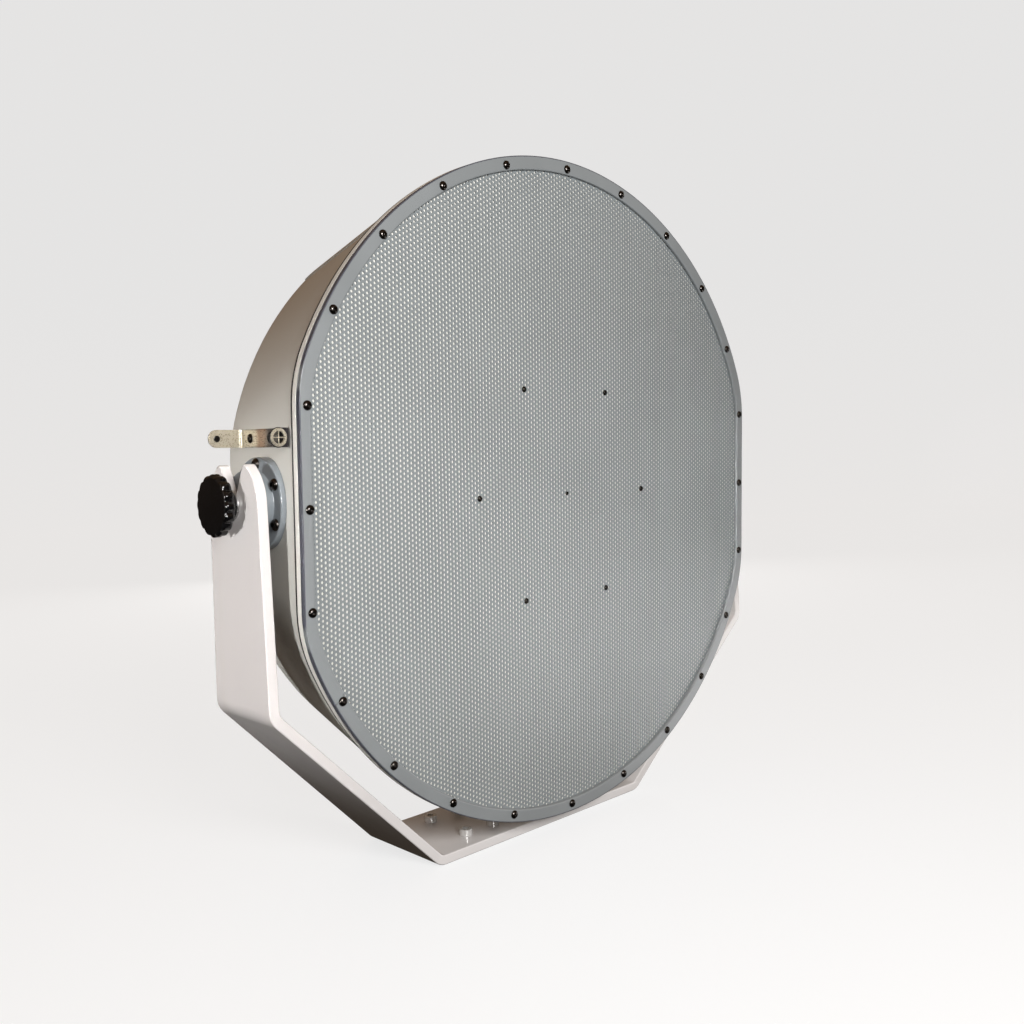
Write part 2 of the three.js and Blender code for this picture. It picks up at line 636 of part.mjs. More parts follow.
// The forked end of an arm: a round end with an open slot whose mouth flares upwards.
function forkEnd(side) {
  const [sin, cos] = [Math.sin(MOUTH_ANGLE), Math.cos(MOUTH_ANGLE)];
  const normal = new THREE.Vector2(cos, -sin);
  const along = new THREE.Vector2(sin, cos);
  const start = new THREE.Vector2(SLOT_HALF, MOUTH_START).addScaledVector(normal, PRONG_TIP_RADIUS);
  const reach = ARM_END_RADIUS - PRONG_TIP_RADIUS;
  const lift = -start.dot(along) + Math.sqrt(start.dot(along) ** 2 - start.lengthSq() + reach ** 2);
  const tip = start.clone().addScaledVector(along, lift);
  const tipEnd = Math.atan2(tip.y, tip.x);
  const mouthSide = Math.atan2(sin, -cos);
  const [, bottomRear] = barEdges(ARM_SPLIT);
  const shape = new THREE.Shape();
  shape.moveTo(-bottomRear, ARM_SPLIT);
  shape.lineTo(bottomRear, ARM_SPLIT);
  shape.absarc(0, 0, ARM_END_RADIUS, 0, tipEnd);
  shape.absarc(tip.x, tip.y, PRONG_TIP_RADIUS, tipEnd, mouthSide);
  shape.lineTo(SLOT_HALF, MOUTH_START);
  shape.absarc(0, 0, SLOT_HALF, 0, -Math.PI, true);
  shape.lineTo(-SLOT_HALF, MOUTH_START);
  shape.absarc(-tip.x, tip.y, PRONG_TIP_RADIUS, Math.PI - mouthSide, Math.PI - tipEnd);
  shape.absarc(0, 0, ARM_END_RADIUS, Math.PI - tipEnd, Math.PI);
  const geometry = new THREE.ExtrudeGeometry(shape, { depth: BAR, bevelEnabled: false, curveSegments: 5 });
  geometry.rotateX(Math.PI / 2);
  geometry.rotateZ(Math.PI / 2);
  geometry.translate(side > 0 ? ARM_INNER : -ARM_OUTER, 0, 0);
  return geometry;
}

function yokeBracket() {
  return join(bentBar(), forkEnd(1), forkEnd(-1));
}

// ---- assembly ----
addPiece(group, 'yoke_bracket', moved(yokeBracket(), 0, PIVOT_Y, PIVOT_HEIGHT), FINISH.yoke);

addPiece(headFrame, 'trim_ring', trimRing(), FINISH.ring);
addPiece(headFrame, 'grille', grille(), FINISH.grille);
addPiece(headFrame, 'weather_screen', weatherScreen(), FINISH.screen);
addPiece(headFrame, 'baffle_plate', bafflePlate(), FINISH.housing);
addPiece(headFrame, 'front_gasket', frontGasket(), FINISH.gasket);
addPiece(headFrame, 'rear_housing', rearHousing(), FINISH.housing);
addPiece(headFrame, 'back_cover', backCover(), FINISH.housing);
addPiece(headFrame, 'inlet_socket', inletSocket(), FINISH.blackScrew);
addPiece(headFrame, 'amplifier_board', amplifierBoard(), FINISH.board);
addPiece(headFrame, 'sight_bracket', sightBracket(), FINISH.sight);
addPiece(headFrame, 'sight_cross_hair', crossHair(), FINISH.sight);

RIM_POSITIONS.forEach(([x, z], i) => {
  const screw = moved(buttonScrew(RIM_SCREW), x, -FIT, z);
  addPiece(headFrame, `rim_screw_${i + 1}`, screw, FINISH.blackScrew);
});
MIDDLE_POSITIONS.forEach(([x, z], i) => {
  const screw = moved(buttonScrew(i === 0 ? CENTRE_SCREW : MIDDLE_SCREW), x, RING_DEPTH, z);
  addPiece(headFrame, `grille_screw_${i + 1}`, screw, FINISH.blackScrew);
});
driverPositions().forEach(([x, z], i) => {
  addPiece(headFrame, `driver_${i + 1}`, moved(driver(), x, 0, z), FINISH.driver);
});

addPiece(headFrame, 'sight_screw', sightScrew(), FINISH.blackScrew);

for (const [label, side] of [['left', -1], ['right', 1]]) {
  addPiece(headFrame, `${label}_handle`, carryHandle(side), FINISH.blackScrew);
  addPiece(head, `${label}_trunnion`, trunnionFlange(side), FINISH.trunnion);
  addPiece(head, `${label}_stud`, stud(side), FINISH.stud);
  addPiece(head, `${label}_clamp_washer`, clampWasher(side), FINISH.stud);
  addPiece(head, `${label}_knob`, clampKnob(side), FINISH.knob);
}

export default group;
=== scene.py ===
"""Looks for the directional hailing speaker: a flat, perforated drum head that tilts in a bent-bar yoke.

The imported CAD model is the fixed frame. Each visible piece is made here at full detail and rides on its
CAD body. Lengths are millimetres and are turned to metres when a mesh is made. The head's own frame has its
origin at the centre of the trim ring's front face, with +Y to the rear.
"""

import json
import math

import bmesh
import bpy
import numpy as np
from mathutils import Matrix, Vector
from mathutils.geometry import delaunay_2d_cdt


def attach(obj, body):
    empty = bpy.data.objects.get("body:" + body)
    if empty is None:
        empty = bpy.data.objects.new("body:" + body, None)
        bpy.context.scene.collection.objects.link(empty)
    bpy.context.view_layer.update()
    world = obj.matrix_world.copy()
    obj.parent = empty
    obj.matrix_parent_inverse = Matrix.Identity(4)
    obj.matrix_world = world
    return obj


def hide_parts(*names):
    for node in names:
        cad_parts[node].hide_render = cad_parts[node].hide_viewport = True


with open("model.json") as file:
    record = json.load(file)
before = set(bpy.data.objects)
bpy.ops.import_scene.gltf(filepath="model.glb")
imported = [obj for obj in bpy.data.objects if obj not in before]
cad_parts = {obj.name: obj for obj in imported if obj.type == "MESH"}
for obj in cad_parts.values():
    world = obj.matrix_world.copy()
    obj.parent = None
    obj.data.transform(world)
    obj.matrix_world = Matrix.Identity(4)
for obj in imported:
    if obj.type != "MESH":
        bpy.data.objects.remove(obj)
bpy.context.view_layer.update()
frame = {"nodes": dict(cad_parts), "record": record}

MM = 0.001
TAU = 2 * math.pi
DATA = bpy.data

# ---- places from the frame ----
TILT_JOINT = next(j for j in frame["record"]["behaviour"]["joints"] if j["name"] == "head_tilt")
PIVOT = Vector(TILT_JOINT["pos_m"])

# ---- the head ----
HEAD_TILT = math.radians(1.76)
PIVOT_DEPTH = 86.3
PIVOT_RISE = 4
RIM = (419, 397.5)            # radius of the round part, half width across the flats
RING_BORE = (402.5, 383.5)
RING_DEPTH = 4.5
SHEET_Y, SHEET_DEPTH = 4.8, 1.2
BAFFLE_Y, BAFFLE_DEPTH = 6.3, 8
GASKET_Y, GASKET_END = 14.6, 18.0
GASKET = (417.9, 396.4)
DRUM_Y, DRUM_REAR_Y = 18.3, 202.5
DRUM_FRONT = (416.5, 395.5)
DRUM_REAR = (374, 369.3)
DRUM_LIP = (397, 377)
WALL = 3
SCREW_CIRCLE, SCREW_FLAT = 409, 388.3
RIM_SCREWS = 24
HEX_CIRCLE = 151.7
SEAM_ANGLE = math.radians(210)      # the trim ring's two ends meet at this screw
LAP_ANGLE = math.radians(134)       # the wrapper sheet's ends overlap here

# ---- perforations ----
HOLE_RADIUS = 1.75
HOLE_CORNER = HOLE_RADIUS * 1.05    # the holes are six-sided: their corners lie a little further out
HOLES_UNDER_RING = 0.4              # holes this far under the ring are still cut
COLUMN_PITCH = 5.0
HOLE_PITCH = 2 * COLUMN_PITCH / math.sqrt(3)
LATTICE_RISE = 1.3

# ---- the yoke, from its tilt axis ----
BAR = 12
ARM_X = 428
BASE_Z = -454.5
BASE_SETBACK = 40.5
UPPER_BEND_Z = -223.5
LOWER_BEND_X = 189
BEND_RADIUS = 24
ARM_END = 51.5
ARM_BEND_HALF = 57.2
BASE_HALF = 69.3
SLOT_HALF = 8.5
MOUTH_START = 12
MOUTH_ANGLE = math.radians(27)
PRONG_TIP = 6

# ---- trunnions, clamps, sight, back ----
FLANGE_RADIUS, FLANGE_X = 49.7, 399
HUB_RADIUS = 35
FLANGE_SCREW_CIRCLE = 42.3
STUD_BORE = 8.5
WASHER_X, WASHER_DEPTH = 428.3, 3
KNOB_X = 431.6
KNOB_LOBES = 16
SIGHT_Z, SIGHT_WIDTH, SIGHT_SHEET = 74, 20, 2
SIGHT_LINE_X = 409
SIGHT_FRONT_Y, SIGHT_REAR_Y, SIGHT_SCREW_Y = 22.6, 153, 126
COVER = (380, 310, 4)
FINS = {"count": 15, "pitch": 18, "thick": 3, "depth": 20, "height": 200, "rise": 30}
HANDLE = {"x": 272, "half": 85, "reach": 41.4, "radius": 6.5}
INLET = (120, -110)

# ---- the camera, fitted to the rim screws' places in the photograph, metres ----
CAMERA_PLACE = (-0.9322, -0.9912, 0.4857)
CAMERA_LOOK = (0.69106, 0.72129, -0.04677)
CAMERA_ROLL = math.radians(-1.92)
CAMERA_LENS, CAMERA_SENSOR = 34.6, 36

TILTED = Matrix.Rotation(HEAD_TILT, 4, "X")
AT_PIVOT = Matrix.Translation(PIVOT)
HEAD = AT_PIVOT @ TILTED @ Matrix.Translation((0, -PIVOT_DEPTH * MM, -PIVOT_RISE * MM))
HEAD_PIVOT = AT_PIVOT @ TILTED


# ---------------------------------------------------------------- materials

def principled(name, colour, roughness, metallic=0.0):
    """A material and its nodes, with plain values on the shader's own sockets."""
    material = DATA.materials.new(name)
    material.use_nodes = True
    shader = material.node_tree.nodes["Principled BSDF"]
    shader.inputs["Base Color"].default_value = (*colour, 1)
    shader.inputs["Roughness"].default_value = roughness
    shader.inputs["Metallic"].default_value = metallic
    return material, material.node_tree, shader


def noise(tree, scale, detail=3.0, stretch=None):
    """A noise texture in the piece's own coordinates: scale is cycles a metre."""
    place = tree.nodes.new("ShaderNodeTexCoord")
    texture = tree.nodes.new("ShaderNodeTexNoise")
    texture.inputs["Scale"].default_value = scale
    texture.inputs["Detail"].default_value = detail
    if stretch:
        mapping = tree.nodes.new("ShaderNodeMapping")
        mapping.inputs["Scale"].default_value = stretch
        tree.links.new(place.outputs["Object"], mapping.inputs["Vector"])
        tree.links.new(mapping.outputs["Vector"], texture.inputs["Vector"])
    else:
        tree.links.new(place.outputs["Object"], texture.inputs["Vector"])
    return texture.outputs["Fac"]


def ramp(tree, value, low, high, start=0.35, end=0.65):
    """low below start and high above end, smooth between: each a number or a colour."""
    node = tree.nodes.new("ShaderNodeMix")
    colours = isinstance(low, tuple)
    node.data_type = "RGBA" if colours else "FLOAT"
    step = tree.nodes.new("ShaderNodeMapRange")
    step.interpolation_type = "SMOOTHSTEP"
    step.inputs["From Min"].default_value = start
    step.inputs["From Max"].default_value = end
    tree.links.new(value, step.inputs["Value"])
    factor, a, b = (0, 6, 7) if colours else (0, 2, 3)
    tree.links.new(step.outputs["Result"], node.inputs[factor])
    node.inputs[a].default_value = (*low, 1) if colours else low
    node.inputs[b].default_value = (*high, 1) if colours else high
    return node.outputs[2 if colours else 0]


def bump(tree, shader, value, depth, strength=1.0):
    """Relief of that depth in metres."""
    node = tree.nodes.new("ShaderNodeBump")
    node.inputs["Distance"].default_value = depth
    node.inputs["Strength"].default_value = strength
    tree.links.new(value, node.inputs["Height"])
    tree.links.new(node.outputs["Normal"], shader.inputs["Normal"])
    return node


def shade(colour, factor):
    return tuple(c * factor for c in colour)


def paint(name, colour, roughness, peel=0.00002, peel_scale=900, stain=0.93, stain_scale=7, edge=None):
    """Sprayed or powder paint: faint orange peel, and soft patches of handling and dust.

    edge is a dark colour on the outermost millimetre of pieces that end at the rim: the edge's own dark tone
    with painted shade on the sides and in the gaps between the layers.
    """
    material, tree, shader = principled(name, colour, roughness)
    skin = ramp(tree, noise(tree, stain_scale, 5), shade(colour, stain), colour)
    if edge:
        skin = rim_edge_and_shade(tree, skin, edge)
    tree.links.new(skin, shader.inputs["Base Color"])
    smears = noise(tree, stain_scale * 4, 6)
    tree.links.new(ramp(tree, smears, roughness * 0.93, min(1, roughness * 1.1)), shader.inputs["Roughness"])
    bump(tree, shader, noise(tree, peel_scale, 2), peel)
    return material


def math_node(tree, operation, *values):
    node = tree.nodes.new("ShaderNodeMath")
    node.operation = operation
    for socket, value in zip(node.inputs, values):
        if isinstance(value, float):
            socket.default_value = value
        else:
            tree.links.new(value, socket)
    return node.outputs[0]


def rim_edge_and_shade(tree, inside, edge):
    """The edge colour on the outermost millimetre of the head's outline, the inside colour elsewhere: a dark
    edge tone with painted shade on the sides and in the gaps between the layers.
    """
    place = tree.nodes.new("ShaderNodeTexCoord")
    split = tree.nodes.new("ShaderNodeSeparateXYZ")
    tree.links.new(place.outputs["Object"], split.inputs["Vector"])
    x, z = split.outputs["X"], split.outputs["Z"]
    squares = [math_node(tree, "MULTIPLY", v, v) for v in (x, z)]
    radius = math_node(tree, "SQRT", math_node(tree, "ADD", *squares))
    round_part = math_node(tree, "SUBTRACT", radius, RIM[0] * MM)
    flat_part = math_node(tree, "SUBTRACT", math_node(tree, "ABSOLUTE", x), RIM[1] * MM)
    step = tree.nodes.new("ShaderNodeMapRange")
    step.inputs["From Min"].default_value = -1.6 * MM
    step.inputs["From Max"].default_value = -0.8 * MM
    tree.links.new(math_node(tree, "MAXIMUM", round_part, flat_part), step.inputs["Value"])
    mix = tree.nodes.new("ShaderNodeMix")
    mix.data_type = "RGBA"
    tree.links.new(step.outputs["Result"], mix.inputs[0])
    tree.links.new(inside, mix.inputs[6])
    mix.inputs[7].default_value = (*edge, 1)
    return mix.outputs[2]


def metal(name, colour, roughness, grain=(1, 1, 1), scale=400, depth=0.000004, metallic=1.0):
    """Bare or blackened steel with a fine grain. Less than fully metallic is steel under a tarnish."""
    material, tree, shader = principled(name, colour, roughness, metallic)
    lines = noise(tree, scale, 4, grain)
    tree.links.new(ramp(tree, lines, roughness * 0.8, roughness * 1.3, 0.3, 0.7), shader.inputs["Roughness"])
    tree.links.new(ramp(tree, noise(tree, 60, 4), shade(colour, 0.85), colour), shader.inputs["Base Color"])
    bump(tree, shader, lines, depth)
    return material


def shaded_towards_front(name, colour, roughness):
    """Steel that goes from its own colour through brown to black towards the front of the head: the brown is
    a painted reflection and the black painted shade, on the front tab and the strip's corner behind it.
    """
    material = metal(name, colour, roughness, (1, 0.06, 1), 700, metallic=0.5)
    tree = material.node_tree
    shader = tree.nodes["Principled BSDF"]
    place = tree.nodes.new("ShaderNodeTexCoord")
    split = tree.nodes.new("ShaderNodeSeparateXYZ")
    tree.links.new(place.outputs["Object"], split.inputs["Vector"])
    wavy = math_node(tree, "MULTIPLY_ADD", noise(tree, 90, 3), 0.012, split.outputs["Y"])
    # Painted reflection and shade: brown, then black, towards the front tab.
    painted_shade_colour = ramp(tree, wavy, (0.016, 0.013, 0.015), (0.2, 0.11, 0.06), 0.078, 0.1)
    tree.links.new(ramp(tree, wavy, 0.0, 0.5, 0.08, 0.11), shader.inputs["Metallic"])
    step = tree.nodes.new("ShaderNodeMapRange")
    step.interpolation_type = "SMOOTHSTEP"
    step.inputs["From Min"].default_value = 0.106
    step.inputs["From Max"].default_value = 0.122
    tree.links.new(wavy, step.inputs["Value"])
    mix = tree.nodes.new("ShaderNodeMix")
    mix.data_type = "RGBA"
    tree.links.new(step.outputs["Result"], mix.inputs[0])
    tree.links.new(painted_shade_colour, mix.inputs[6])
    mix.inputs[7].default_value = (*colour, 1)
    tree.links.new(mix.outputs[2], shader.inputs["Base Color"])
    return material


def moulded(name, colour, roughness):
    """Moulded plastic or rubber with a faint skin texture."""
    material, tree, shader = principled(name, colour, roughness)
    tree.links.new(ramp(tree, noise(tree, 120, 4), roughness * 0.8, roughness * 1.2),
                   shader.inputs["Roughness"])
    tree.links.new(ramp(tree, noise(tree, 40, 3), colour, shade(colour, 1.5)), shader.inputs["Base Color"])
    bump(tree, shader, noise(tree, 1500, 2), 0.00001)
    return material


def cloth(name, colour):
    """Fine woven weather cloth."""
    material, tree, shader = principled(name, colour, 0.9)
    place = tree.nodes.new("ShaderNodeTexCoord")
    weave = []
    for direction in ("X", "Z"):
        wave = tree.nodes.new("ShaderNodeTexWave")
        wave.bands_direction = direction
        wave.inputs["Scale"].default_value = 900
        tree.links.new(place.outputs["Object"], wave.inputs["Vector"])
        weave.append(wave.outputs["Fac"])
    both = tree.nodes.new("ShaderNodeMath")
    both.operation = "MULTIPLY"
    tree.links.new(weave[0], both.inputs[0])
    tree.links.new(weave[1], both.inputs[1])
    tree.links.new(ramp(tree, both.outputs[0], shade(colour, 0.85), colour, 0.1, 0.6),
                   shader.inputs["Base Color"])
    bump(tree, shader, both.outputs[0], 0.00008)
    return material


WHITE = paint("yoke_white", (0.6, 0.575, 0.565), 0.15, 0.000012, 400, 0.97)
# Dark rim edge: the edge's own dark tone with painted shade on the sides and in the gaps between ring, sheet
# and baffle.
RIM_EDGE_AND_SHADE = (0.05, 0.053, 0.068)
RING_BLUE = paint("ring_blue_grey", (0.195, 0.208, 0.213), 0.32, 0.00002, 900, 0.9, edge=RIM_EDGE_AND_SHADE)
SHEET_BLUE = paint("sheet_blue_grey", (0.19, 0.208, 0.214), 0.36, 0.000006, 900, 0.94, edge=RIM_EDGE_AND_SHADE)
WARM_GREY = paint("housing_warm_grey", (0.6, 0.59, 0.55), 0.3, 0.00002, 700, 0.94, 5)
FLANGE_BLUE = paint("flange_blue_grey", (0.18, 0.2, 0.215), 0.34)
BLACK_PAINT = paint("handle_black", (0.02, 0.02, 0.02), 0.35)
BLACK_STEEL = metal("black_oxide_steel", (0.062, 0.056, 0.052), 0.2)
BRIGHT_STEEL = metal("turned_steel", (0.6, 0.6, 0.6), 0.3)
SIGHT_STEEL = metal("tanned_steel", (0.4, 0.36, 0.28), 0.3, (1, 0.06, 1), 700, metallic=0.5)
# Sight strip with painted reflection and shade towards its front tab.
SIGHT_STRIP = shaded_towards_front("tanned_steel_painted_shade_front", (0.4, 0.36, 0.28), 0.3)
BOLT_STEEL = metal("polished_bolt_steel", (0.78, 0.77, 0.75), 0.16, metallic=0.4)
KNOB_BLACK = moulded("knob_black", (0.0015, 0.0015, 0.0018), 0.12)
# Black for the sight's throat and shroud; the throat's black is painted shade.
SIGHT_BLACK = moulded("sight_black", (0.003, 0.003, 0.003), 0.7)
INLET_BLACK = moulded("inlet_black", (0.012, 0.012, 0.013), 0.4)
RUBBER = moulded("gasket_rubber", (0.012, 0.012, 0.012), 0.75)
CLOTH = cloth("weather_cloth", (0.76, 0.775, 0.78))
CAST = moulded("driver_cast", (0.03, 0.03, 0.032), 0.55)
BOARD = moulded("board_green", (0.03, 0.16, 0.06), 0.45)


# ---------------------------------------------------------------- meshes

def make(name, verts, faces, material, body, slot, matrix=HEAD, replaces=(), crease=32, flat=False,
         oriented=False):
    """A closed mesh in millimetres, placed by matrix, riding on body and standing for some CAD nodes."""
    mesh = DATA.meshes.new(name)
    coords = np.asarray(verts, dtype=float) * MM
    mesh.from_pydata(coords.tolist(), [], [list(face) for face in faces])
    mesh.materials.append(material)
    if not oriented:
        face_outwards(mesh)
    piece = DATA.objects.new(name, mesh)
    bpy.context.scene.collection.objects.link(piece)
    if not flat:
        mesh.shade_smooth()
        mesh.set_sharp_from_angle(angle=math.radians(crease))
        weigh = piece.modifiers.new("weigh", "WEIGHTED_NORMAL")
        weigh.keep_sharp = True
        weigh.weight = 100
    piece.matrix_world = matrix
    return settle(piece, body, replaces)


def face_outwards(mesh):
    shape = bmesh.new()
    shape.from_mesh(mesh)
    bmesh.ops.recalc_face_normals(shape, faces=shape.faces)
    shape.to_mesh(mesh)
    shape.free()


def settle(piece, body, replaces=()):
    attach(piece, body)
    if replaces:
        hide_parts(*replaces)
    return piece


def copy_of(piece, name, matrix, body, replaces=()):
    """Another object with the same mesh."""
    twin = DATA.objects.new(name, piece.data)
    bpy.context.scene.collection.objects.link(twin)
    weigh = twin.modifiers.new("weigh", "WEIGHTED_NORMAL")
    weigh.keep_sharp = True
    weigh.weight = 100
    twin.matrix_world = matrix
    return settle(twin, body, replaces)


def bridge(rings, closed_along=False):
    """Faces of a tube through rings of the same length; open ends are closed by one face each.

    A ring of one repeated point is a pole and gets triangles. Rings go so that each one's points turn
    counter-clockwise seen from the far end, for faces that look outwards.
    """
    verts, index = [], []
    for ring in rings:
        points = [tuple(p) for p in ring]
        if len(points) == 1:
            index.append([len(verts)])
        else:
            index.append(list(range(len(verts), len(verts) + len(points))))
        verts.extend(points)
    faces = []
    pairs = list(zip(index, index[1:]))
    if closed_along:
        pairs.append((index[-1], index[0]))
    for a, b in pairs:
        count = max(len(a), len(b))
        for i in range(count):
            j = (i + 1) % count
            if len(a) == 1:
                faces.append((a[0], b[j], b[i]))
            elif len(b) == 1:
                faces.append((a[i], a[j], b[0]))
            else:
                faces.append((a[i], a[j], b[j], b[i]))
    if not closed_along:
        if len(index[0]) > 1:
            faces.append(tuple(reversed(index[0])))
        if len(index[-1]) > 1:
            faces.append(tuple(index[-1]))
    return verts, faces


def turned(profile, segments):
    """A turned piece from (radius, distance) points, which end on the axis or close on themselves."""
    closed = profile[0] == profile[-1]
    points = profile[:-1] if closed else profile
    rings = []
    for radius, along in points:
        if radius < 1e-6:
            rings.append([(0, along, 0)])
            continue
        rings.append([
            (radius * math.cos(TAU * i / segments), along, -radius * math.sin(TAU * i / segments))
            for i in range(segments)
        ])
    verts, faces = bridge(rings, closed_along=closed)
    return verts, faces


def arc(centre, radius, start, end, steps):
    """Points on an arc, angles in degrees."""
    return [
        (centre[0] + radius * math.cos(math.radians(start + (end - start) * i / steps)),
         centre[1] + radius * math.sin(math.radians(start + (end - start) * i / steps)))
        for i in range(steps + 1)
    ]


CORNER_BLEND = 160
FLAT_STEPS = 32
BLEND_STEPS = 14
ARC_STEPS = 190
LAP_STEPS = 152


def swept(centre, radius, start, end, steps):
    """Points on an arc, angles in radians, without its last point."""
    return [(centre[0] + radius * math.cos(a), centre[1] + radius * math.sin(a))
            for a in np.linspace(start, end, steps, endpoint=False)]


def outline(shape, grow=0.0, split=None):
    """A circle cut flat at both sides, corners rounded: up the right flat, over, down the left, under.

    split is an angle on the upper arc where a point always falls, and always the same one.
    """
    radius, half = shape[0] + grow, shape[1] + grow
    blend = CORNER_BLEND + grow
    across = half - blend
    rise = math.sqrt((radius - blend) ** 2 - across ** 2)
    corner = math.atan2(rise, across)
    points = []
    for side in (1, -1):
        part = [(half, rise * (2 * i / FLAT_STEPS - 1)) for i in range(FLAT_STEPS)]
        part += swept((across, rise), blend, 0, corner, BLEND_STEPS)
        if split and side > 0:
            part += swept((0, 0), radius, corner, split, LAP_STEPS)
            part += swept((0, 0), radius, split, math.pi - corner, ARC_STEPS - LAP_STEPS)
        else:
            part += swept((0, 0), radius, corner, math.pi - corner, ARC_STEPS)
        part += swept((-across, rise), blend, math.pi - corner, math.pi, BLEND_STEPS)
        points += [(side * x, side * z) for x, z in part]
    return np.array(points)


def weld(verts, faces, grain=1e-3):
    """Joins points that lie on each other, and drops faces that vanish."""
    keys, order, new = {}, [], []
    for v in verts:
        key = tuple(round(c / grain) for c in v)
        if key not in keys:
            keys[key] = len(new)
            new.append(v)
        order.append(keys[key])
    kept = []
    for face in faces:
        loop = [order[i] for i in face]
        loop = [v for i, v in enumerate(loop) if v != loop[i - 1]]
        if len(set(loop)) >= 3:
            kept.append(loop)
    return new, kept


def inside(point, loop):
    """Whether a point lies in a closed loop."""
    x, y = point
    found = False
    for (x0, y0), (x1, y1) in zip(loop, np.roll(loop, -1, axis=0)):
        if (y0 > y) != (y1 > y) and x < x0 + (y - y0) * (x1 - x0) / (y1 - y0):
            found = not found
    return found


def offset(loop, distance):
    """The loop moved to its left by a distance: into the material for the outline and for a hole alike."""
    before = loop - np.roll(loop, 1, axis=0)
    after = np.roll(loop, -1, axis=0) - loop
    before /= np.linalg.norm(before, axis=1, keepdims=True)
    after /= np.linalg.norm(after, axis=1, keepdims=True)
    left = (before + after)[:, ::-1] * (-1, 1)
    left /= np.linalg.norm(left, axis=1, keepdims=True)
    lean = (left * (after[:, ::-1] * (-1, 1))).sum(axis=1, keepdims=True)
    return loop + left * distance / np.maximum(lean, 0.5)


def sheet_solid(loops, depth, rounding, crossings=(), steps=3):
    """A flat plate with rounded edges from loops of (s, w): the outline counter-clockwise, holes clockwise.

    crossings are pairs of outline points joined by an edge, where the plate will be bent. Points come back as
    (s, w, n) with n from 0 to depth.
    """
    loops = [np.asarray(loop, dtype=float) for loop in loops]
    verts, faces = [], []
    turn = [math.radians(90 * i / steps) for i in range(steps + 1)]
    section = [(rounding * (1 - math.sin(a)), rounding * (1 - math.cos(a))) for a in turn]
    section += [(inset, depth - n) for inset, n in reversed(section)]
    for loop in loops:
        first = len(verts)
        for inset, n in section:
            verts += [(s, w, n) for s, w in offset(loop, inset)]
        count = len(loop)
        for level in range(len(section) - 1):
            for i in range(count):
                j = (i + 1) % count
                a, b = first + level * count, first + (level + 1) * count
                faces.append((a + i, a + j, b + j, b + i))
    caps = [offset(loop, rounding) for loop in loops]
    points, edges, start = [], [], 0
    for loop in caps:
        points += [Vector(p) for p in loop]
        edges += [(start + i, start + (i + 1) % len(loop)) for i in range(len(loop))]
        start += len(loop)
    edges += list(crossings)
    flat, _, triangles, *_ = delaunay_2d_cdt(points, edges, [], 0, 1e-5)
    kept = []
    for triangle in triangles:
        middle = sum((flat[i] for i in triangle), Vector((0, 0))) / 3
        if inside(middle, caps[0]) and not any(inside(middle, hole) for hole in caps[1:]):
            kept.append(triangle)
    for n, flip in ((0, True), (depth, False)):
        first = len(verts)
        verts += [(p[0], p[1], n) for p in flat]
        faces += [tuple(first + i for i in (reversed(t) if flip else t)) for t in kept]
    return weld(verts, faces)


def circle(centre, radius, steps, clockwise=False):
    turn = -1 if clockwise else 1
    return [
        (centre[0] + radius * math.cos(turn * TAU * i / steps),
         centre[1] + radius * math.sin(turn * TAU * i / steps))
        for i in range(steps)
    ]


def rounded_rectangle(width, height, radius, steps=5):
    x, z = width / 2 - radius, height / 2 - radius
    return (arc((x, z), radius, 0, 90, steps) + arc((-x, z), radius, 90, 180, steps)
            + arc((-x, -z), radius, 180, 270, steps) + arc((x, -z), radius, 270, 360, steps))


def slab(ring_at, y0, y1, rounding, steps=3):
    """A closed plate whose outline at an inset is ring_at(inset), from y0 to y1, edges rounded."""
    turn = [math.radians(90 * i / steps) for i in range(steps + 1)]
    section = [(rounding * (1 - math.sin(a)), y0 + rounding * (1 - math.cos(a))) for a in turn]
    section += [(inset, y0 + y1 - y) for inset, y in reversed(section)]
    return bridge([[(x, y, z) for x, z in ring_at(inset)] for inset, y in section])


def ring_of(radius, along, segments, hexed=False):
    """A ring about the Y axis. Hexed makes it a hexagon whose flats are at that radius."""
    points = []
    for i in range(segments):
        angle = TAU * i / segments
        reach = radius / math.cos(angle % (math.pi / 3) - math.pi / 6) if hexed else radius
        points.append((reach * math.cos(angle), along, -reach * math.sin(angle)))
    return points


def button_screw(head, height, flats, shank, length, segments=36):
    """Button-head screw with a hexagon socket. The head stands at -Y, the shank runs to +Y."""
    dome_end = 62
    rings = [[(0, length, 0)], ring_of(shank - 0.5, length, segments), ring_of(shank, length - 0.5, segments),
             ring_of(shank, 0, segments), ring_of(head - 0.15, 0, segments), ring_of(head, -0.15, segments)]
    for step in range(1, 8):
        angle = math.radians(dome_end * step / 7)
        rise = 0.15 + (height - 0.15) * math.sin(angle) / math.sin(math.radians(dome_end))
        rings.append(ring_of(head * math.cos(angle), -rise, segments))
    socket = flats / 2
    rings.append(ring_of(socket + 0.12, -height, segments, hexed=True))
    rings.append(ring_of(socket, -height + 0.12, segments, hexed=True))
    rings.append(ring_of(socket, -height + height * 0.62, segments, hexed=True))
    rings.append([(0, -height + height * 0.75, 0)])
    return bridge(rings)


def cap_screw(head, height, flats, shank, length, segments=48):
    """Socket-head cap screw, standing along +Y from 0, shank below."""
    socket = flats / 2
    rings = [[(0, -length, 0)], ring_of(shank, -length, segments), ring_of(shank, 0, segments),
             ring_of(head - 0.3, 0, segments), ring_of(head, 0.3, segments),
             ring_of(head, height - 0.8, segments),
             ring_of(head - 0.3, height - 0.25, segments), ring_of(head - 0.9, height, segments),
             ring_of(socket + 0.3, height, segments, hexed=True),
             ring_of(socket, height - 0.3, segments, hexed=True),
             ring_of(socket, height * 0.45, segments, hexed=True), [(0, height * 0.35, 0)]]
    return bridge(rings)


# ---------------------------------------------------------------- the head's front

def section_points(start, direction, width, section):
    """Points of a band's section, each (0 at the inner edge or 1 at the outer, offset outwards, depth)."""
    points = []
    for edge, out, depth in section:
        x, z = start + direction * (edge * width + out)
        points.append((x, depth, z))
    return points


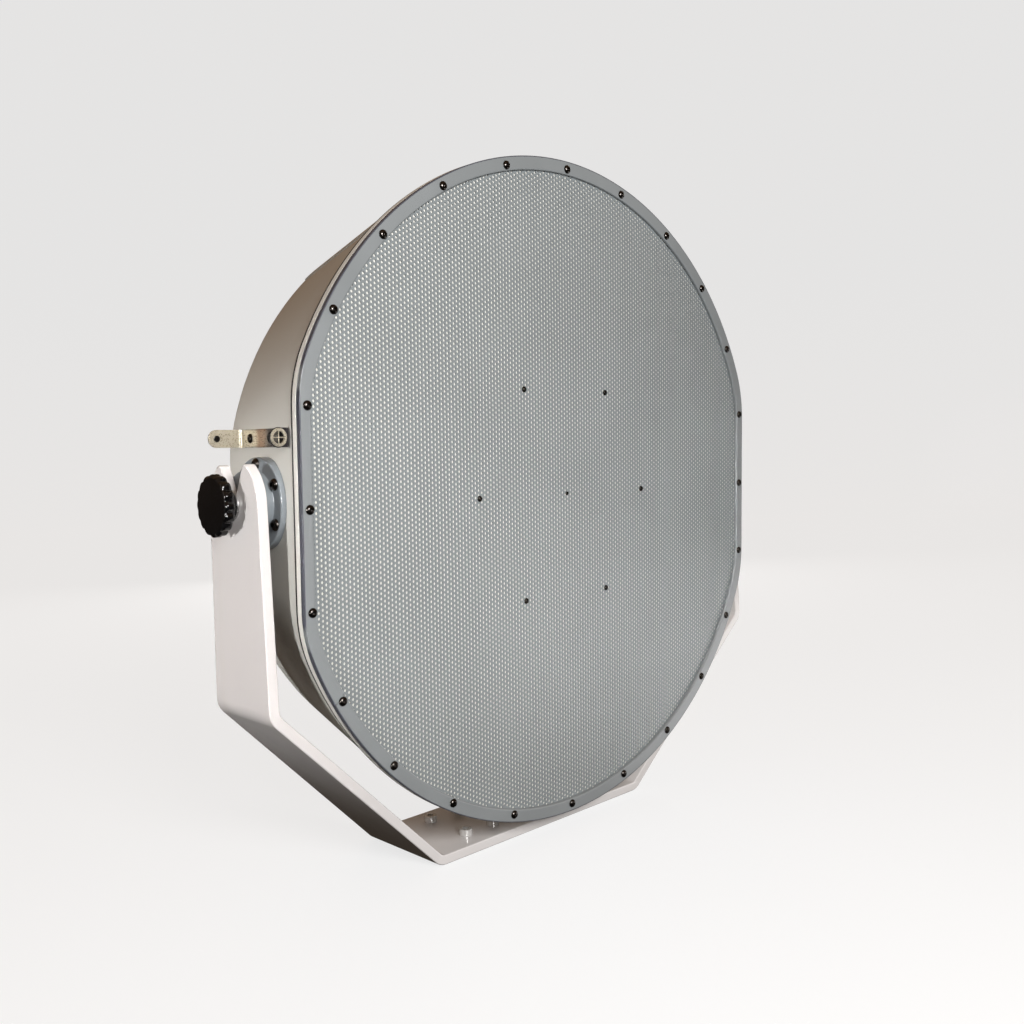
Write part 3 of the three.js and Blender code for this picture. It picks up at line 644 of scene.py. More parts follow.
def trim_ring():
    section = []
    for edge, side, face, first, rounding in ((1, -1, 0, -90, 0.7), (1, -1, 1, 0, 0.6), (0, 1, 1, 90, 0.6),
                                              (0, 1, 0, 180, 2.2)):
        centre = (side * rounding, RING_DEPTH - rounding if face else rounding)
        section += [(edge, out, depth) for out, depth in arc(centre, rounding, first, first + 90, 4)]
    inner, outer = outline(RING_BORE), outline(RIM)
    angle = np.arctan2(outer[:, 1], outer[:, 0]) % TAU
    first = int(np.argmin(abs(angle - SEAM_ANGLE)))
    inner, outer = np.roll(inner, -first, axis=0), np.roll(outer, -first, axis=0)
    gap = 0.18
    inner = np.vstack([inner, inner[0] + (inner[-1] - inner[0]) * gap])
    outer = np.vstack([outer, outer[0] + (outer[-1] - outer[0]) * gap])
    rings = []
    for a, b in zip(inner, outer):
        width = np.linalg.norm(b - a)
        rings.append(section_points(a, (b - a) / width, width, section))
    verts, faces = bridge(rings)
    make("trim_ring_strip", verts, faces, RING_BLUE, "head", "ring_paint", replaces=["trim_ring"])


def perforated_sheet():
    """The sheet as four closed quarters, with every hole cut through."""
    third, half = COLUMN_PITCH / 3, HOLE_PITCH / 2
    columns = np.arange(-84, 84)
    rows = np.arange(-150, 151)
    column, row = np.meshgrid(columns, rows, indexing="ij")
    wanted = (column + row) % 2 == 0
    column, row = column[wanted], row[wanted]
    x, z = (column + 0.5) * COLUMN_PITCH, row * half + LATTICE_RISE
    bore = (RING_BORE[0] + HOLES_UNDER_RING, RING_BORE[1] + HOLES_UNDER_RING)
    kept = (x ** 2 + z ** 2 < bore[0] ** 2) & (abs(x) < bore[1])
    column, row, x, z = column[kept], row[kept], x[kept], z[kept]
    cells = set(zip(column.tolist(), row.tolist()))

    steps = np.array([(2, 0), (1, 1), (-1, 1), (-2, 0), (-1, -1), (1, -1)])
    corner_keys = np.stack([3 * column, row], axis=1)[:, None, :] + steps[None]
    keys, index = np.unique(corner_keys.reshape(-1, 2), axis=0, return_inverse=True)
    corners = index.reshape(-1, 6)
    points = keys * (third, half) + (COLUMN_PITCH / 2, LATTICE_RISE)
    turn = np.arange(6) * TAU / 6
    holes = np.stack([x[:, None] + HOLE_CORNER * np.cos(turn),
                      z[:, None] + HOLE_CORNER * np.sin(turn)], 2)
    hole_index = len(points) + np.arange(len(x) * 6).reshape(-1, 6)
    points = np.vstack([points, holes.reshape(-1, 2)])
    around = np.roll(np.arange(6), -1)
    quads = np.stack([corners, corners[:, around], hole_index[:, around], hole_index], axis=2).reshape(-1, 4)
    quad_side = np.repeat((x >= 0) * 2 + (z >= 0) * 1, 6)

    edges = np.stack([corners, corners[:, around]], axis=2).reshape(-1, 2)
    _, first, count = np.unique(np.sort(edges, axis=1), axis=0, return_index=True, return_counts=True)
    fringe = edges[first[count == 1]]
    fringe_points, fringe_index = np.unique(fringe, return_inverse=True)
    fringe_index = fringe_index.reshape(-1, 2)
    rim = outline(RIM)
    ring = len(fringe_points) + np.arange(len(rim))
    border_points = np.vstack([points[fringe_points], rim])
    border_edges = fringe_index.tolist() + np.stack([ring, np.roll(ring, -1)], axis=1).tolist()
    flat, _, triangles, origin, *_ = delaunay_2d_cdt(
        [Vector(p) for p in border_points], border_edges, [], 0, 1e-6)
    whole = np.concatenate([fringe_points, len(points) + np.arange(len(rim))])
    points = np.vstack([points, rim])
    named = [int(whole[group[0]]) for group in origin]
    border = []
    for triangle in triangles:
        middle = sum((flat[i] for i in triangle), Vector((0, 0))) / 3
        if not in_cells(middle, cells, half):
            border.append([named[i] for i in triangle])
    border = np.array(border)
    middles = points[border].mean(axis=1)
    border_side = (middles[:, 0] >= 0) * 2 + (middles[:, 1] >= 0) * 1
    for side, label in enumerate(("lower_left", "upper_left", "lower_right", "upper_right")):
        front = quads[quad_side == side].tolist() + border[border_side == side].tolist()
        verts, faces = through(points, front, SHEET_Y, SHEET_Y + SHEET_DEPTH)
        make(f"perforated_sheet_{label}", verts, faces, SHEET_BLUE, "head", "grille_paint",
             replaces=["grille"], flat=True, oriented=True)


def in_cells(point, cells, half):
    """Whether a point lies in one of the hexagonal cells, by its nearest cell centre."""
    x, z = point[0] - COLUMN_PITCH / 2, point[1] - LATTICE_RISE
    middle = round(x / COLUMN_PITCH)
    best = min(
        ((x - c * COLUMN_PITCH) ** 2 + (z - r * half) ** 2, c, r)
        for c in (middle - 1, middle, middle + 1)
        for r in nearby_rows(z, half, c)
    )
    return best[1:] in cells


def nearby_rows(z, half, column):
    low = math.floor(z / half)
    return [r for r in (low - 1, low, low + 1, low + 2) if (r + column) % 2 == 0]


def through(points, front, y0, y1):
    """A closed plate from flat faces in (x, z): fronts, backs, and a wall at every open edge."""
    used = np.unique(np.concatenate([np.array(face) for face in front]))
    place = np.full(len(points), -1)
    place[used] = np.arange(len(used))
    flat = points[used]
    count = len(used)
    verts = np.vstack([np.column_stack([flat[:, 0], np.full(count, y0), flat[:, 1]]),
                       np.column_stack([flat[:, 0], np.full(count, y1), flat[:, 1]])])
    faces, directed = [], []
    for face in front:
        loop = [int(place[i]) for i in face]
        faces.append(loop)
        faces.append([i + count for i in reversed(loop)])
        directed += list(zip(loop, loop[1:] + loop[:1]))
    single = set(directed)
    for a, b in directed:
        if (b, a) not in single:
            faces.append([b, a, a + count, b + count])
    return verts, faces


def baffle_rim():
    verts, faces = slab(lambda inset: outline(RIM, -inset), BAFFLE_Y, BAFFLE_Y + BAFFLE_DEPTH, 0.8)
    make("baffle_board", verts, faces, WARM_GREY, "head", "housing_paint", replaces=["baffle_plate"])


def gasket_bead():
    """Black rubber squeezed between the baffle and the housing, seen as a thin line round the head: the
    rubber, swelled out so that its black also stands in for the shadow in the gap as painted shade.
    """
    swell = [(0, GASKET_Y), (0.5, GASKET_Y + 0.6), (0.7, GASKET_Y + 1.7), (0.5, GASKET_Y + 2.8),
             (0, GASKET_END)]
    rings = [[(x, y, z) for x, z in outline(GASKET, out)] for out, y in swell]
    rings += [[(x, y, z) for x, z in outline(DRUM_LIP)] for y in (GASKET_END, GASKET_Y)]
    verts, faces = bridge(rings, closed_along=True)
    make("gasket_bead", verts, faces, RUBBER, "head", "gasket_rubber", replaces=["front_gasket"])


# ---------------------------------------------------------------- the housing

def drum_at(y):
    along = (y - DRUM_Y) / (DRUM_REAR_Y - DRUM_Y)
    return tuple(a + (b - a) * along for a, b in zip(DRUM_FRONT, DRUM_REAR))


def flat_side(y):
    return drum_at(y)[1]


LAP_STEP, LAP_FADE = 1.2, 40


def lapped(ring, step):
    """Raises the wrapper's end over the start of its next turn by step, fading back over a short way."""
    at = FLAT_STEPS + BLEND_STEPS + LAP_STEPS
    edge = ring[at]
    tangent = np.array([-edge[1], edge[0]]) / np.linalg.norm(edge)
    ring = ring.copy()
    for i in range(at, at - 12, -1):
        away = np.linalg.norm(ring[i] - edge) / LAP_FADE
        fade = max(0.0, 1 - away) ** 2 * (1 + 2 * away)
        ring[i] += ring[i] / np.linalg.norm(ring[i]) * step * fade
    return np.insert(ring, at + 1, edge + tangent * 0.25, axis=0)


def rear_shell():
    fold = 5
    rings = [[(0, DRUM_REAR_Y, 0)]]

    def level(shape, y, inset=0.0, step=0.0):
        ring = lapped(outline(shape, -inset, LAP_ANGLE), step)
        rings.append([(x, y, z) for x, z in ring])

    edge = lapped(outline(DRUM_REAR, -fold, LAP_ANGLE), 0)
    for share in (0.2, 0.5, 0.8, 0.95):
        rings.append([(x * share, DRUM_REAR_Y, z * share) for x, z in edge])
    for angle in range(90, -1, -15):
        bend = math.radians(angle)
        y = DRUM_REAR_Y - fold + fold * math.sin(bend)
        level(drum_at(y), y, fold * (1 - math.cos(bend)), LAP_STEP if angle < 45 else 0)
    for share in np.linspace(1, 0, 14)[1:]:
        y = DRUM_Y + 1 + (DRUM_REAR_Y - fold - DRUM_Y - 1) * share
        level(drum_at(y), y, 0, LAP_STEP)
    level(DRUM_FRONT, DRUM_Y, 0.8)
    level(DRUM_LIP, DRUM_Y)
    level(DRUM_LIP, DRUM_Y + WALL)
    level(DRUM_FRONT, DRUM_Y + WALL, WALL)
    level(DRUM_REAR, DRUM_REAR_Y - WALL, WALL)
    rings.append([(0, DRUM_REAR_Y - WALL, 0)])
    verts, faces = bridge(rings)
    make("housing_shell", verts, faces, WARM_GREY, "head", "housing_paint", replaces=["rear_housing"])


# ---------------------------------------------------------------- screws

def placed(x, y, z, rotation=None):
    """A place in the head's frame, in millimetres."""
    spot = Matrix.Translation((x * MM, y * MM, z * MM))
    return HEAD @ (spot @ rotation if rotation else spot)


def spun(index):
    """Each socket stands at its own angle."""
    return Matrix.Rotation(index * 2.399963, 4, "Y")


def front_screws():
    rim = None
    for i in range(RIM_SCREWS):
        angle = TAU * i / RIM_SCREWS
        x = max(-SCREW_FLAT, min(SCREW_FLAT, SCREW_CIRCLE * math.cos(angle)))
        spot = placed(x, 0, SCREW_CIRCLE * math.sin(angle), spun(i))
        name, nodes = f"rim_button_{i + 1}", [f"rim_screw_{i + 1}"]
        if rim is None:
            verts, faces = button_screw(5.25, 3.2, 3, 3, 15)
            rim = make(name, verts, faces, BLACK_STEEL, "head", "black_steel", spot, nodes)
        else:
            copy_of(rim, name, spot, "head", nodes)
    middle = None
    for i in range(6):
        angle = TAU * i / 6
        spot = placed(HEX_CIRCLE * math.cos(angle), SHEET_Y, HEX_CIRCLE * math.sin(angle), spun(i))
        name, nodes = f"sheet_button_{i + 1}", [f"grille_screw_{i + 2}"]
        if middle is None:
            verts, faces = button_screw(3.8, 2.4, 2.5, 2, 7)
            middle = make(name, verts, faces, BLACK_STEEL, "head", "black_steel", spot, nodes)
        else:
            copy_of(middle, name, spot, "head", nodes)
    verts, faces = button_screw(2.7, 1.8, 2, 1.5, 7)
    make("sheet_button_centre", verts, faces, BLACK_STEEL, "head", "black_steel", placed(0, SHEET_Y, 0),
         ["grille_screw_1"])


# ---------------------------------------------------------------- trunnions and clamps

def sideways(verts, side):
    """Turns a piece made along +Y to lie along X, outwards on that side."""
    return [(side * y, x, z) for x, y, z in verts]


def trunnion(label, side):
    back = flat_side(PIVOT_DEPTH) - 1
    hub_end = ARM_X - BAR - 0.3
    edge = 1.2
    profile = [(0, back), (FLANGE_RADIUS, back)]
    profile += arc((FLANGE_RADIUS - edge, FLANGE_X - edge), edge, 0, 90, 4)
    profile += [(HUB_RADIUS + 1.5, FLANGE_X), (HUB_RADIUS + 0.4, FLANGE_X + 0.4),
                (HUB_RADIUS, FLANGE_X + 1.5)]
    profile += arc((HUB_RADIUS - 0.8, hub_end - 0.8), 0.8, 0, 90, 3)
    profile += [(STUD_BORE, hub_end), (STUD_BORE, FLANGE_X + 0.7), (0, FLANGE_X + 0.7)]
    verts, faces = turned(profile, 96)
    seated = []
    for radial, along, up in verts:
        if along < back + 0.01:
            along = flat_side(PIVOT_DEPTH + radial) + 0.3
        seated.append((radial, along, up))
    make(f"{label}_trunnion_disc", sideways(seated, side), faces, FLANGE_BLUE, "head", "trunnion_paint",
         HEAD_PIVOT, [f"{label}_trunnion"])
    outward = Matrix.Rotation(side * math.pi / 2, 4, "Z")
    first = None
    for i in range(6):
        angle = TAU * (i + 0.5) / 6
        y, z = FLANGE_SCREW_CIRCLE * math.cos(angle), FLANGE_SCREW_CIRCLE * math.sin(angle)
        spot = HEAD_PIVOT @ Matrix.Translation((side * FLANGE_X * MM, y * MM, z * MM)) @ outward @ spun(i)
        name = f"{label}_flange_button_{i + 1}"
        if first is None:
            shape = button_screw(6.6, 4.2, 5, 4, 6)
            first = make(name, *shape, BLACK_STEEL, "head", "black_steel", spot)
        else:
            copy_of(first, name, spot, "head")


def clamp(label, side):
    face = WASHER_X + WASHER_DEPTH
    profile = [(STUD_BORE, WASHER_X), (15.6, WASHER_X), (16, WASHER_X + 0.4), (16, face - 0.4), (15.6, face),
               (STUD_BORE, face), (STUD_BORE, WASHER_X)]
    verts, faces = turned(profile, 64)
    make(f"{label}_plain_washer", sideways(verts, side), faces, BRIGHT_STEEL, f"{label}_clamp",
         "bright_steel",
         HEAD_PIVOT, [f"{label}_clamp_washer"])
    verts, faces = fluted_knob()
    make(f"{label}_fluted_knob", sideways(verts, side), faces, KNOB_BLACK, f"{label}_knob", "knob_plastic",
         HEAD_PIVOT, [f"{label}_knob"], crease=40)


def fluted_knob():
    """Lobed grip on a plain boss, with a blind bore in the back: points are radius, distance, flute depth."""
    back, front = KNOB_X + 9, KNOB_X + 21
    points = [
        (0, KNOB_X + 15.9, 0), (STUD_BORE, KNOB_X + 15.9, 0), (STUD_BORE, KNOB_X, 0), (12, KNOB_X, 0),
        (12.5, KNOB_X + 0.5, 0), (12.5, back - 1.5, 0), (13.2, back - 0.4, 0), (14.5, back, 0),
        (27, back, 0.2), (30, back + 0.3, 1.2), (31.8, back + 1.2, 2.1), (32.8, back + 2.6, 2.6),
        (33, back + 4, 2.8), (33, front - 3.8, 2.8), (32.8, front - 2.4, 2.6), (32.1, front - 1.1, 2.1),
        (31.2, front - 0.4, 1.5), (30.2, front - 0.05, 0.8), (29, front, 0.2), (15, front + 0.35, 0),
        (0, front + 0.45, 0),
    ]
    segments = KNOB_LOBES * 12
    rings = []
    for radius, along, flute in points:
        if radius == 0:
            rings.append([(0, along, 0)])
            continue
        ring = []
        for i in range(segments):
            angle = TAU * i / segments
            dip = flute * (0.5 - 0.5 * math.cos(KNOB_LOBES * angle)) ** 2
            ring.append(((radius - dip) * math.cos(angle), along, -(radius - dip) * math.sin(angle)))
        rings.append(ring)
    return bridge(rings)


# ---------------------------------------------------------------- the sight

def bent_path(corners, radius, steps):
    """Rounds a polyline's corners. Returns the stations as (distance along, point, left normal)."""
    corners = [Vector(c) for c in corners]
    stations = []
    travelled = 0.0
    here = corners[0]
    for before, at, after in zip(corners, corners[1:], corners[2:]):
        incoming, outgoing = (at - before).normalized(), (after - at).normalized()
        turn = incoming.angle(outgoing)
        sign = 1 if incoming.x * outgoing.y - incoming.y * outgoing.x > 0 else -1
        start = at - incoming * radius * math.tan(turn / 2)
        left = Vector((-incoming.y, incoming.x))
        if not stations:
            stations.append((travelled, here, left))
        travelled += (start - here).length
        centre = start + left * sign * radius
        for k in range(steps + 1):
            swing = Matrix.Rotation(sign * turn * k / steps, 2)
            point = centre + swing @ (start - centre)
            stations.append((travelled + radius * turn * k / steps, point, swing @ left))
        travelled += radius * turn
        here = stations[-1][1]
    left = stations[-1][2]
    stations.append((travelled + (corners[-1] - here).length, corners[-1], left))
    return stations


def along_path(stations, s):
    """Point and left normal at a distance along a bent path. It runs on straight past both ends."""
    last = len(stations) - 2
    for i in range(last + 1):
        if s <= stations[i + 1][0] or i == last:
            break
    (s0, p0, n0), (s1, p1, n1) = stations[i], stations[i + 1]
    if s1 - s0 < 1e-9:
        return p0, n0
    share = (s - s0) / (s1 - s0)
    return p0.lerp(p1, share), (n0 if (n0 - n1).length < 1e-9 else n0.lerp(n1, share).normalized())


def bend_stations(stations):
    return [s for s, _, _ in stations[1:-1]]


def sight():
    middle = SIGHT_SHEET / 2
    wall_front = -(flat_side(SIGHT_FRONT_Y) + 0.3 + middle)
    wall_rear = -(flat_side(SIGHT_REAR_Y) + 0.3 + middle)
    front, rear = SIGHT_FRONT_Y + middle, SIGHT_REAR_Y + middle
    tip = -SIGHT_LINE_X
    stations = bent_path([(tip, front), (wall_front, front), (wall_rear, rear), (tip, rear)], 4.6, 8)
    length = stations[-1][0]
    half = SIGHT_WIDTH / 2
    cuts = bend_stations(stations)
    lower = [(s, -half) for s in cuts]
    upper = [(s, half) for s in reversed(cuts)]
    loop = lower + arc((length, 0), half, -90, 90, 16) + upper + arc((0, 0), half, 90, 270, 16)
    count = len(cuts)
    after = count + 17
    crossings = [(i, after + count - 1 - i) for i in range(count)]
    screw_s = cuts[len(cuts) // 2 - 1] + (SIGHT_SCREW_Y - SIGHT_FRONT_Y)
    holes = [circle((0, 0), 7, 40, True), circle((length, 0), 3.6, 32, True),
             circle((screw_s, 0), 2.6, 20, True)]
    verts, faces = sheet_solid([loop, *holes], SIGHT_SHEET, 0.25, crossings, 2)
    bent = []
    for s, w, n in verts:
        point, left = along_path(stations, s)
        spot = point + left * (n - middle)
        bent.append((spot.x, spot.y, SIGHT_Z + w))
    make("sight_strip", bent, faces, SIGHT_STRIP, "head", "sight_steel", replaces=["sight_bracket"])
    cross_hair()
    peep(rear)
    wall = -(flat_side(SIGHT_SCREW_Y) + 0.3 + SIGHT_SHEET)
    spot = placed(wall, SIGHT_SCREW_Y, SIGHT_Z, Matrix.Rotation(-math.pi / 2, 4, "Z") @ spun(1))
    shape = button_screw(5.4, 2.8, 3, 2, 5)
    make("sight_button", *shape, BLACK_STEEL, "head", "black_steel", spot, ["sight_screw"])


def peep(y):
    """Black bush in the rear tab with a pinhole to look through: its black is painted shade, so that the hole
    shows dark.
    """
    back, front = y + 1.6, y - 1.9
    profile = [(0.7, front), (3.0, front - 0.2), (3.5, front), (3.5, back - 0.4), (4.6, back), (0.7, back),
               (0.7, front)]
    spot = placed(-SIGHT_LINE_X, 0, SIGHT_Z)
    make("sight_peep", *turned(profile, 40), KNOB_BLACK, "head", "knob_plastic", spot)


def cross_hair():
    """A turned collar in the front tab with crossed wires across its bore."""
    front = SIGHT_FRONT_Y - 1.6
    profile = [(6.4, front + 0.3), (6.7, front), (9.0, front), (9.6, front + 0.5), (9.6, front + 1.4),
               (6.9, front + 1.5), (6.9, front + 2.2), (6.4, front + 2.2), (6.4, front + 0.3)]
    verts, faces = turned(profile, 48)
    spot = placed(-SIGHT_LINE_X, 0, SIGHT_Z)
    make("sight_collar", verts, faces, SIGHT_STEEL, "head", "sight_steel", spot, ["sight_cross_hair"])
    # A black tube lines the bore behind the collar: painted shade, so that the view through the cross-hair
    # shows dark.
    tube = [(6.45, front + 2.3), (6.85, front + 2.3), (6.85, front + 12), (6.45, front + 12),
            (6.45, front + 2.3)]
    make("sight_throat", *turned(tube, 48), SIGHT_BLACK, "head", "knob_plastic", spot)
    shroud = [(9.7, front + 0.6), (10.4, front + 0.9), (10.4, front + 1.5), (9.7, front + 1.5),
              (9.7, front + 0.6)]
    make("sight_shroud", *turned(shroud, 48), SIGHT_BLACK, "head", "knob_plastic", spot)
    for k, label in enumerate(("upright", "level")):
        turn = Matrix.Rotation(k * math.pi / 2, 3, "Y")
        rings = [[tuple(turn @ Vector((0.6 * math.cos(a), front + 0.9 + 0.6 * math.sin(a), z)))
                  for a in np.arange(12) * TAU / 12] for z in (-6.6, 0, 6.6)]
        verts, faces = bridge(rings)
        make(f"sight_wire_{label}", verts, faces, SIGHT_STEEL, "head", "sight_steel", spot)


# ---------------------------------------------------------------- the back

def back_cover():
    y0 = DRUM_REAR_Y + 0.3
    loop = rounded_rectangle(COVER[0], COVER[1], 12, 8)
    holes = [circle((INLET[0], INLET[1]), 10, 32, True)]
    verts, faces = sheet_solid([loop, *holes], COVER[2], 0.8)
    plate = [(s, y0 + COVER[2] - n, w) for s, w, n in verts]
    make("cover_plate", plate, faces, WARM_GREY, "head", "housing_paint", replaces=["back_cover"])
    verts, faces = heat_sink(y0 + COVER[2])
    make("heat_sink", verts, faces, WARM_GREY, "head", "housing_paint")
    cover_screws(y0 + COVER[2])


def heat_sink(y):
    """A comb of round-tipped fins on a common base, cut square at both ends."""
    left = -(FINS["count"] - 1) * FINS["pitch"] / 2
    edge = -left + FINS["thick"] + 3
    tip = FINS["thick"] / 2
    section = [(edge, 0), (edge, 2.5)]
    for i in reversed(range(FINS["count"])):
        x = left + i * FINS["pitch"]
        section += [(x + tip + 1.2, 2.5), (x + tip + 0.3, 2.9), (x + tip, 4)]
        section += arc((x, FINS["depth"] - tip), tip, 0, 180, 6)
        section += [(x - tip, 4), (x - tip - 0.3, 2.9), (x - tip - 1.2, 2.5)]
    section += [(-edge, 2.5), (-edge, 0)]
    low, high = FINS["rise"] - FINS["height"] / 2, FINS["rise"] + FINS["height"] / 2
    rings = [[(x, y + out, z) for x, out in section] for z in (low, high)]
    return bridge(rings)


def cover_screws(y):
    first = None
    inset = 10
    across, up = COVER[0] / 2 - inset, COVER[1] / 2 - inset
    spots = [(x, z) for z in (-up, up) for x in (-across, -across / 3, across / 3, across)]
    spots += [(x, z) for x in (-across, across) for z in (-up / 3, up / 3)]
    for i, (x, z) in enumerate(spots):
        spot = placed(x, y, z, Matrix.Rotation(math.pi, 4, "Z") @ spun(i))
        name = f"cover_button_{i + 1}"
        if first is None:
            first = make(name, *button_screw(4.75, 2.75, 3, 2.5, 5), BLACK_STEEL, "head", "black_steel", spot)
        else:
            copy_of(first, name, spot, "head")


def inlet_connector():
    """Panel connector: square flange, threaded collar, and pins in its insert."""
    y = DRUM_REAR_Y + COVER[2] + 0.6
    loop = rounded_rectangle(34, 34, 4, 5)
    holes = [circle((x, z), 1.6, 16, True) for x in (-13, 13) for z in (-13, 13)]
    verts, faces = sheet_solid([loop, *holes], 3, 0.4, steps=2)
    spot = placed(INLET[0], 0, INLET[1])
    make("inlet_flange", [(s, y + 3 - n, w) for s, w, n in verts], faces, INLET_BLACK, "head",
         "inlet_black", spot,
         ["inlet_socket"])
    profile = [(0, y + 8), (11.5, y + 8), (11.5, y + 19.6), (11.9, y + 20), (13.2, y + 20)]
    pitch = 1.5
    for turn in range(8):
        at = y + 18.8 - turn * pitch
        profile += [(14, at), (13.2, at - pitch / 2)]
    profile += [(13.2, y + 5.5), (14, y + 5.2), (14, y), (0, y)]
    verts, faces = turned(profile, 48)
    make("inlet_collar", verts, faces, INLET_BLACK, "head", "inlet_black", spot)
    pins = [(0, 0)] + [(6 * math.cos(TAU * k / 6), 6 * math.sin(TAU * k / 6)) for k in range(6)]
    for k, (x, z) in enumerate(pins):
        shape = turned([(0, y + 7.5), (1, y + 7.5), (1, y + 15.4), (0.5, y + 16), (0, y + 16)], 16)
        spot = placed(INLET[0] + x, 0, INLET[1] + z)
        make(f"inlet_pin_{k + 1}", *shape, BRIGHT_STEEL, "head", "bright_steel", spot)
    for k, (x, z) in enumerate((x, z) for x in (-13, 13) for z in (-13, 13)):
        spot = placed(INLET[0] + x, y + 3, INLET[1] + z, Matrix.Rotation(math.pi, 4, "Z") @ spun(k))
        make(f"inlet_button_{k + 1}", *button_screw(2.7, 1.6, 2, 1.4, 4), BLACK_STEEL, "head",
             "black_steel", spot)


def carry_handle(label, side):
    foot_y = DRUM_REAR_Y + 0.3
    reach, half, radius = HANDLE["reach"], HANDLE["half"], HANDLE["radius"]
    bend, steps, around = 18, 8, 20
    far = foot_y + reach
    path = [(foot_y, -half)] + arc((far - bend, -half + bend), bend, -90, 0, steps)
    path += arc((far - bend, half - bend), bend, 0, 90, steps) + [(foot_y, half)]
    path = np.array(path)
    rings = []
    for i, (y, z) in enumerate(path):
        before, after = path[max(i - 1, 0)], path[min(i + 1, len(path) - 1)]
        ahead = (after - before) / np.linalg.norm(after - before)
        across = np.array([-ahead[1], ahead[0]])
        rings.append([
            (side * HANDLE["x"] + radius * math.cos(a), y + across[0] * radius * math.sin(a),
             z + across[1] * radius * math.sin(a))
            for a in np.arange(around) * TAU / around
        ])
    verts, faces = bridge(rings)
    make(f"{label}_handle_bar", verts, faces, BLACK_PAINT, "head", "handle_paint",
         replaces=[f"{label}_handle"])
    for k, z in enumerate((-half, half)):
        foot = [(radius + 0.1, foot_y), (13.6, foot_y), (14, foot_y + 0.4), (14, foot_y + 2.2),
                (13, foot_y + 3),
                (radius + 1.5, foot_y + 3.4), (radius + 0.1, foot_y + 5), (radius + 0.1, foot_y)]
        spot = placed(side * HANDLE["x"], 0, z)
        make(f"{label}_handle_foot_{k + 1}", *turned(foot, 40), BLACK_PAINT, "head", "handle_paint", spot)


# ---------------------------------------------------------------- the yoke

def bar_edges(z):
    """Front and rear edge of the bar at a height, from the tilt axis."""
    base = (BASE_SETBACK - BASE_HALF, BASE_SETBACK + BASE_HALF)
    levels = [(0, (-ARM_END, ARM_END)), (UPPER_BEND_Z, (-ARM_BEND_HALF, ARM_BEND_HALF)), (BASE_Z + BAR, base)]
    if z >= 0:
        return levels[0][1]
    for (top, above), (low, below) in zip(levels, levels[1:]):
        if z >= low:
            share = (top - z) / (top - low)
            return tuple(a + (b - a) * share for a, b in zip(above, below))
    return base


def fork_outline():
    """Front half of the forked end, from its front edge to the slot's lowest point: (height, y)."""
    sin, cos = math.sin(MOUTH_ANGLE), math.cos(MOUTH_ANGLE)
    along = Vector((cos, -sin))
    start = Vector((MOUTH_START, -SLOT_HALF)) + Vector((-sin, -cos)) * PRONG_TIP
    reach = ARM_END - PRONG_TIP
    lift = -start.dot(along) + math.sqrt(start.dot(along) ** 2 - start.length_squared + reach ** 2)
    tip = start + along * lift
    lean = math.degrees(math.atan2(tip.y, tip.x))
    mouth = math.degrees(math.atan2(cos, sin))
    points = arc((0, 0), ARM_END, -90, lean, 14)
    points += arc(tuple(tip), PRONG_TIP, lean, mouth, 8)[1:]
    points += [(MOUTH_START, -SLOT_HALF)]
    points += arc((0, 0), SLOT_HALF, -90, -180, 8)
    return points


def yoke():
    top = 100
    corners = [(-ARM_X, top), (-ARM_X, UPPER_BEND_Z), (-LOWER_BEND_X, BASE_Z), (LOWER_BEND_X, BASE_Z),
               (ARM_X, UPPER_BEND_Z), (ARM_X, top)]
    stations = bent_path(corners, BEND_RADIUS, 10)
    length = stations[-1][0]
    cuts = bend_stations(stations)
    extra = [top + 1, *np.linspace(top + 40, cuts[0] - 12, 4)]
    for start, end in ((10, 11), (21, 22)):
        extra += list(np.linspace(cuts[start] + 10, cuts[end] - 10, 6))
    extra += list(np.linspace(cuts[32] + 10, cuts[33] - 10, 6)) + [length - s for s in extra[:5]]
    places = sorted(cuts + extra)

    def edge(s, which):
        point, left = along_path(stations, s)
        return bar_edges((point + left * BAR / 2).y)[which]

    front = [(s, edge(s, 0)) for s in places]
    rear = [(s, edge(s, 1)) for s in reversed(places)]
    half_fork = fork_outline()
    fork = half_fork + [(u, -w) for u, w in reversed(half_fork[:-1])]
    right = [(length - top + u, w) for u, w in fork]
    left = [(top - u, w) for u, w in reversed(fork)]
    loop = front + right + rear + left
    count, tines = len(places), len(fork)
    crossings = [(i, count + tines + count - 1 - i) for i in range(count)]
    verts, faces = sheet_solid([loop], BAR, 1.7, crossings, 4)
    bent = []
    for s, w, n in verts:
        point, normal = along_path(stations, s)
        spot = point + normal * n
        bent.append((spot.x, w, spot.y))
    make("yoke_bar", bent, faces, WHITE, "yoke", "yoke_paint", AT_PIVOT, ["yoke_bracket"])


def base_bolts():
    upright = Matrix.Rotation(math.pi / 2, 4, "X")
    first = None
    for i, (x, y) in enumerate((x, y) for x in (-119, -72, 72, 119) for y in (-36, 36)):
        spot = Matrix.Translation((x * MM, y * MM, BAR * MM)) @ upright @ spun(i)
        name = f"base_bolt_{i + 1}"
        if first is None:
            first = make(name, *cap_screw(8.6, 8.5, 8, 5, 11), BOLT_STEEL, "yoke", "bright_steel", spot)
        else:
            copy_of(first, name, spot, "yoke")


# ---------------------------------------------------------------- CAD pieces that stay

def dress(node, material):
    mesh = frame["nodes"][node].data
    mesh.materials.clear()
    mesh.materials.append(material)


def dress_cad():
    dress("weather_screen", CLOTH)
    dress("amplifier_board", BOARD)
    for i in range(6):
        dress(f"driver_{i + 1}", CAST)
    for side in ("left", "right"):
        dress(f"{side}_stud", BRIGHT_STEEL)


# ---------------------------------------------------------------- camera, light and floor

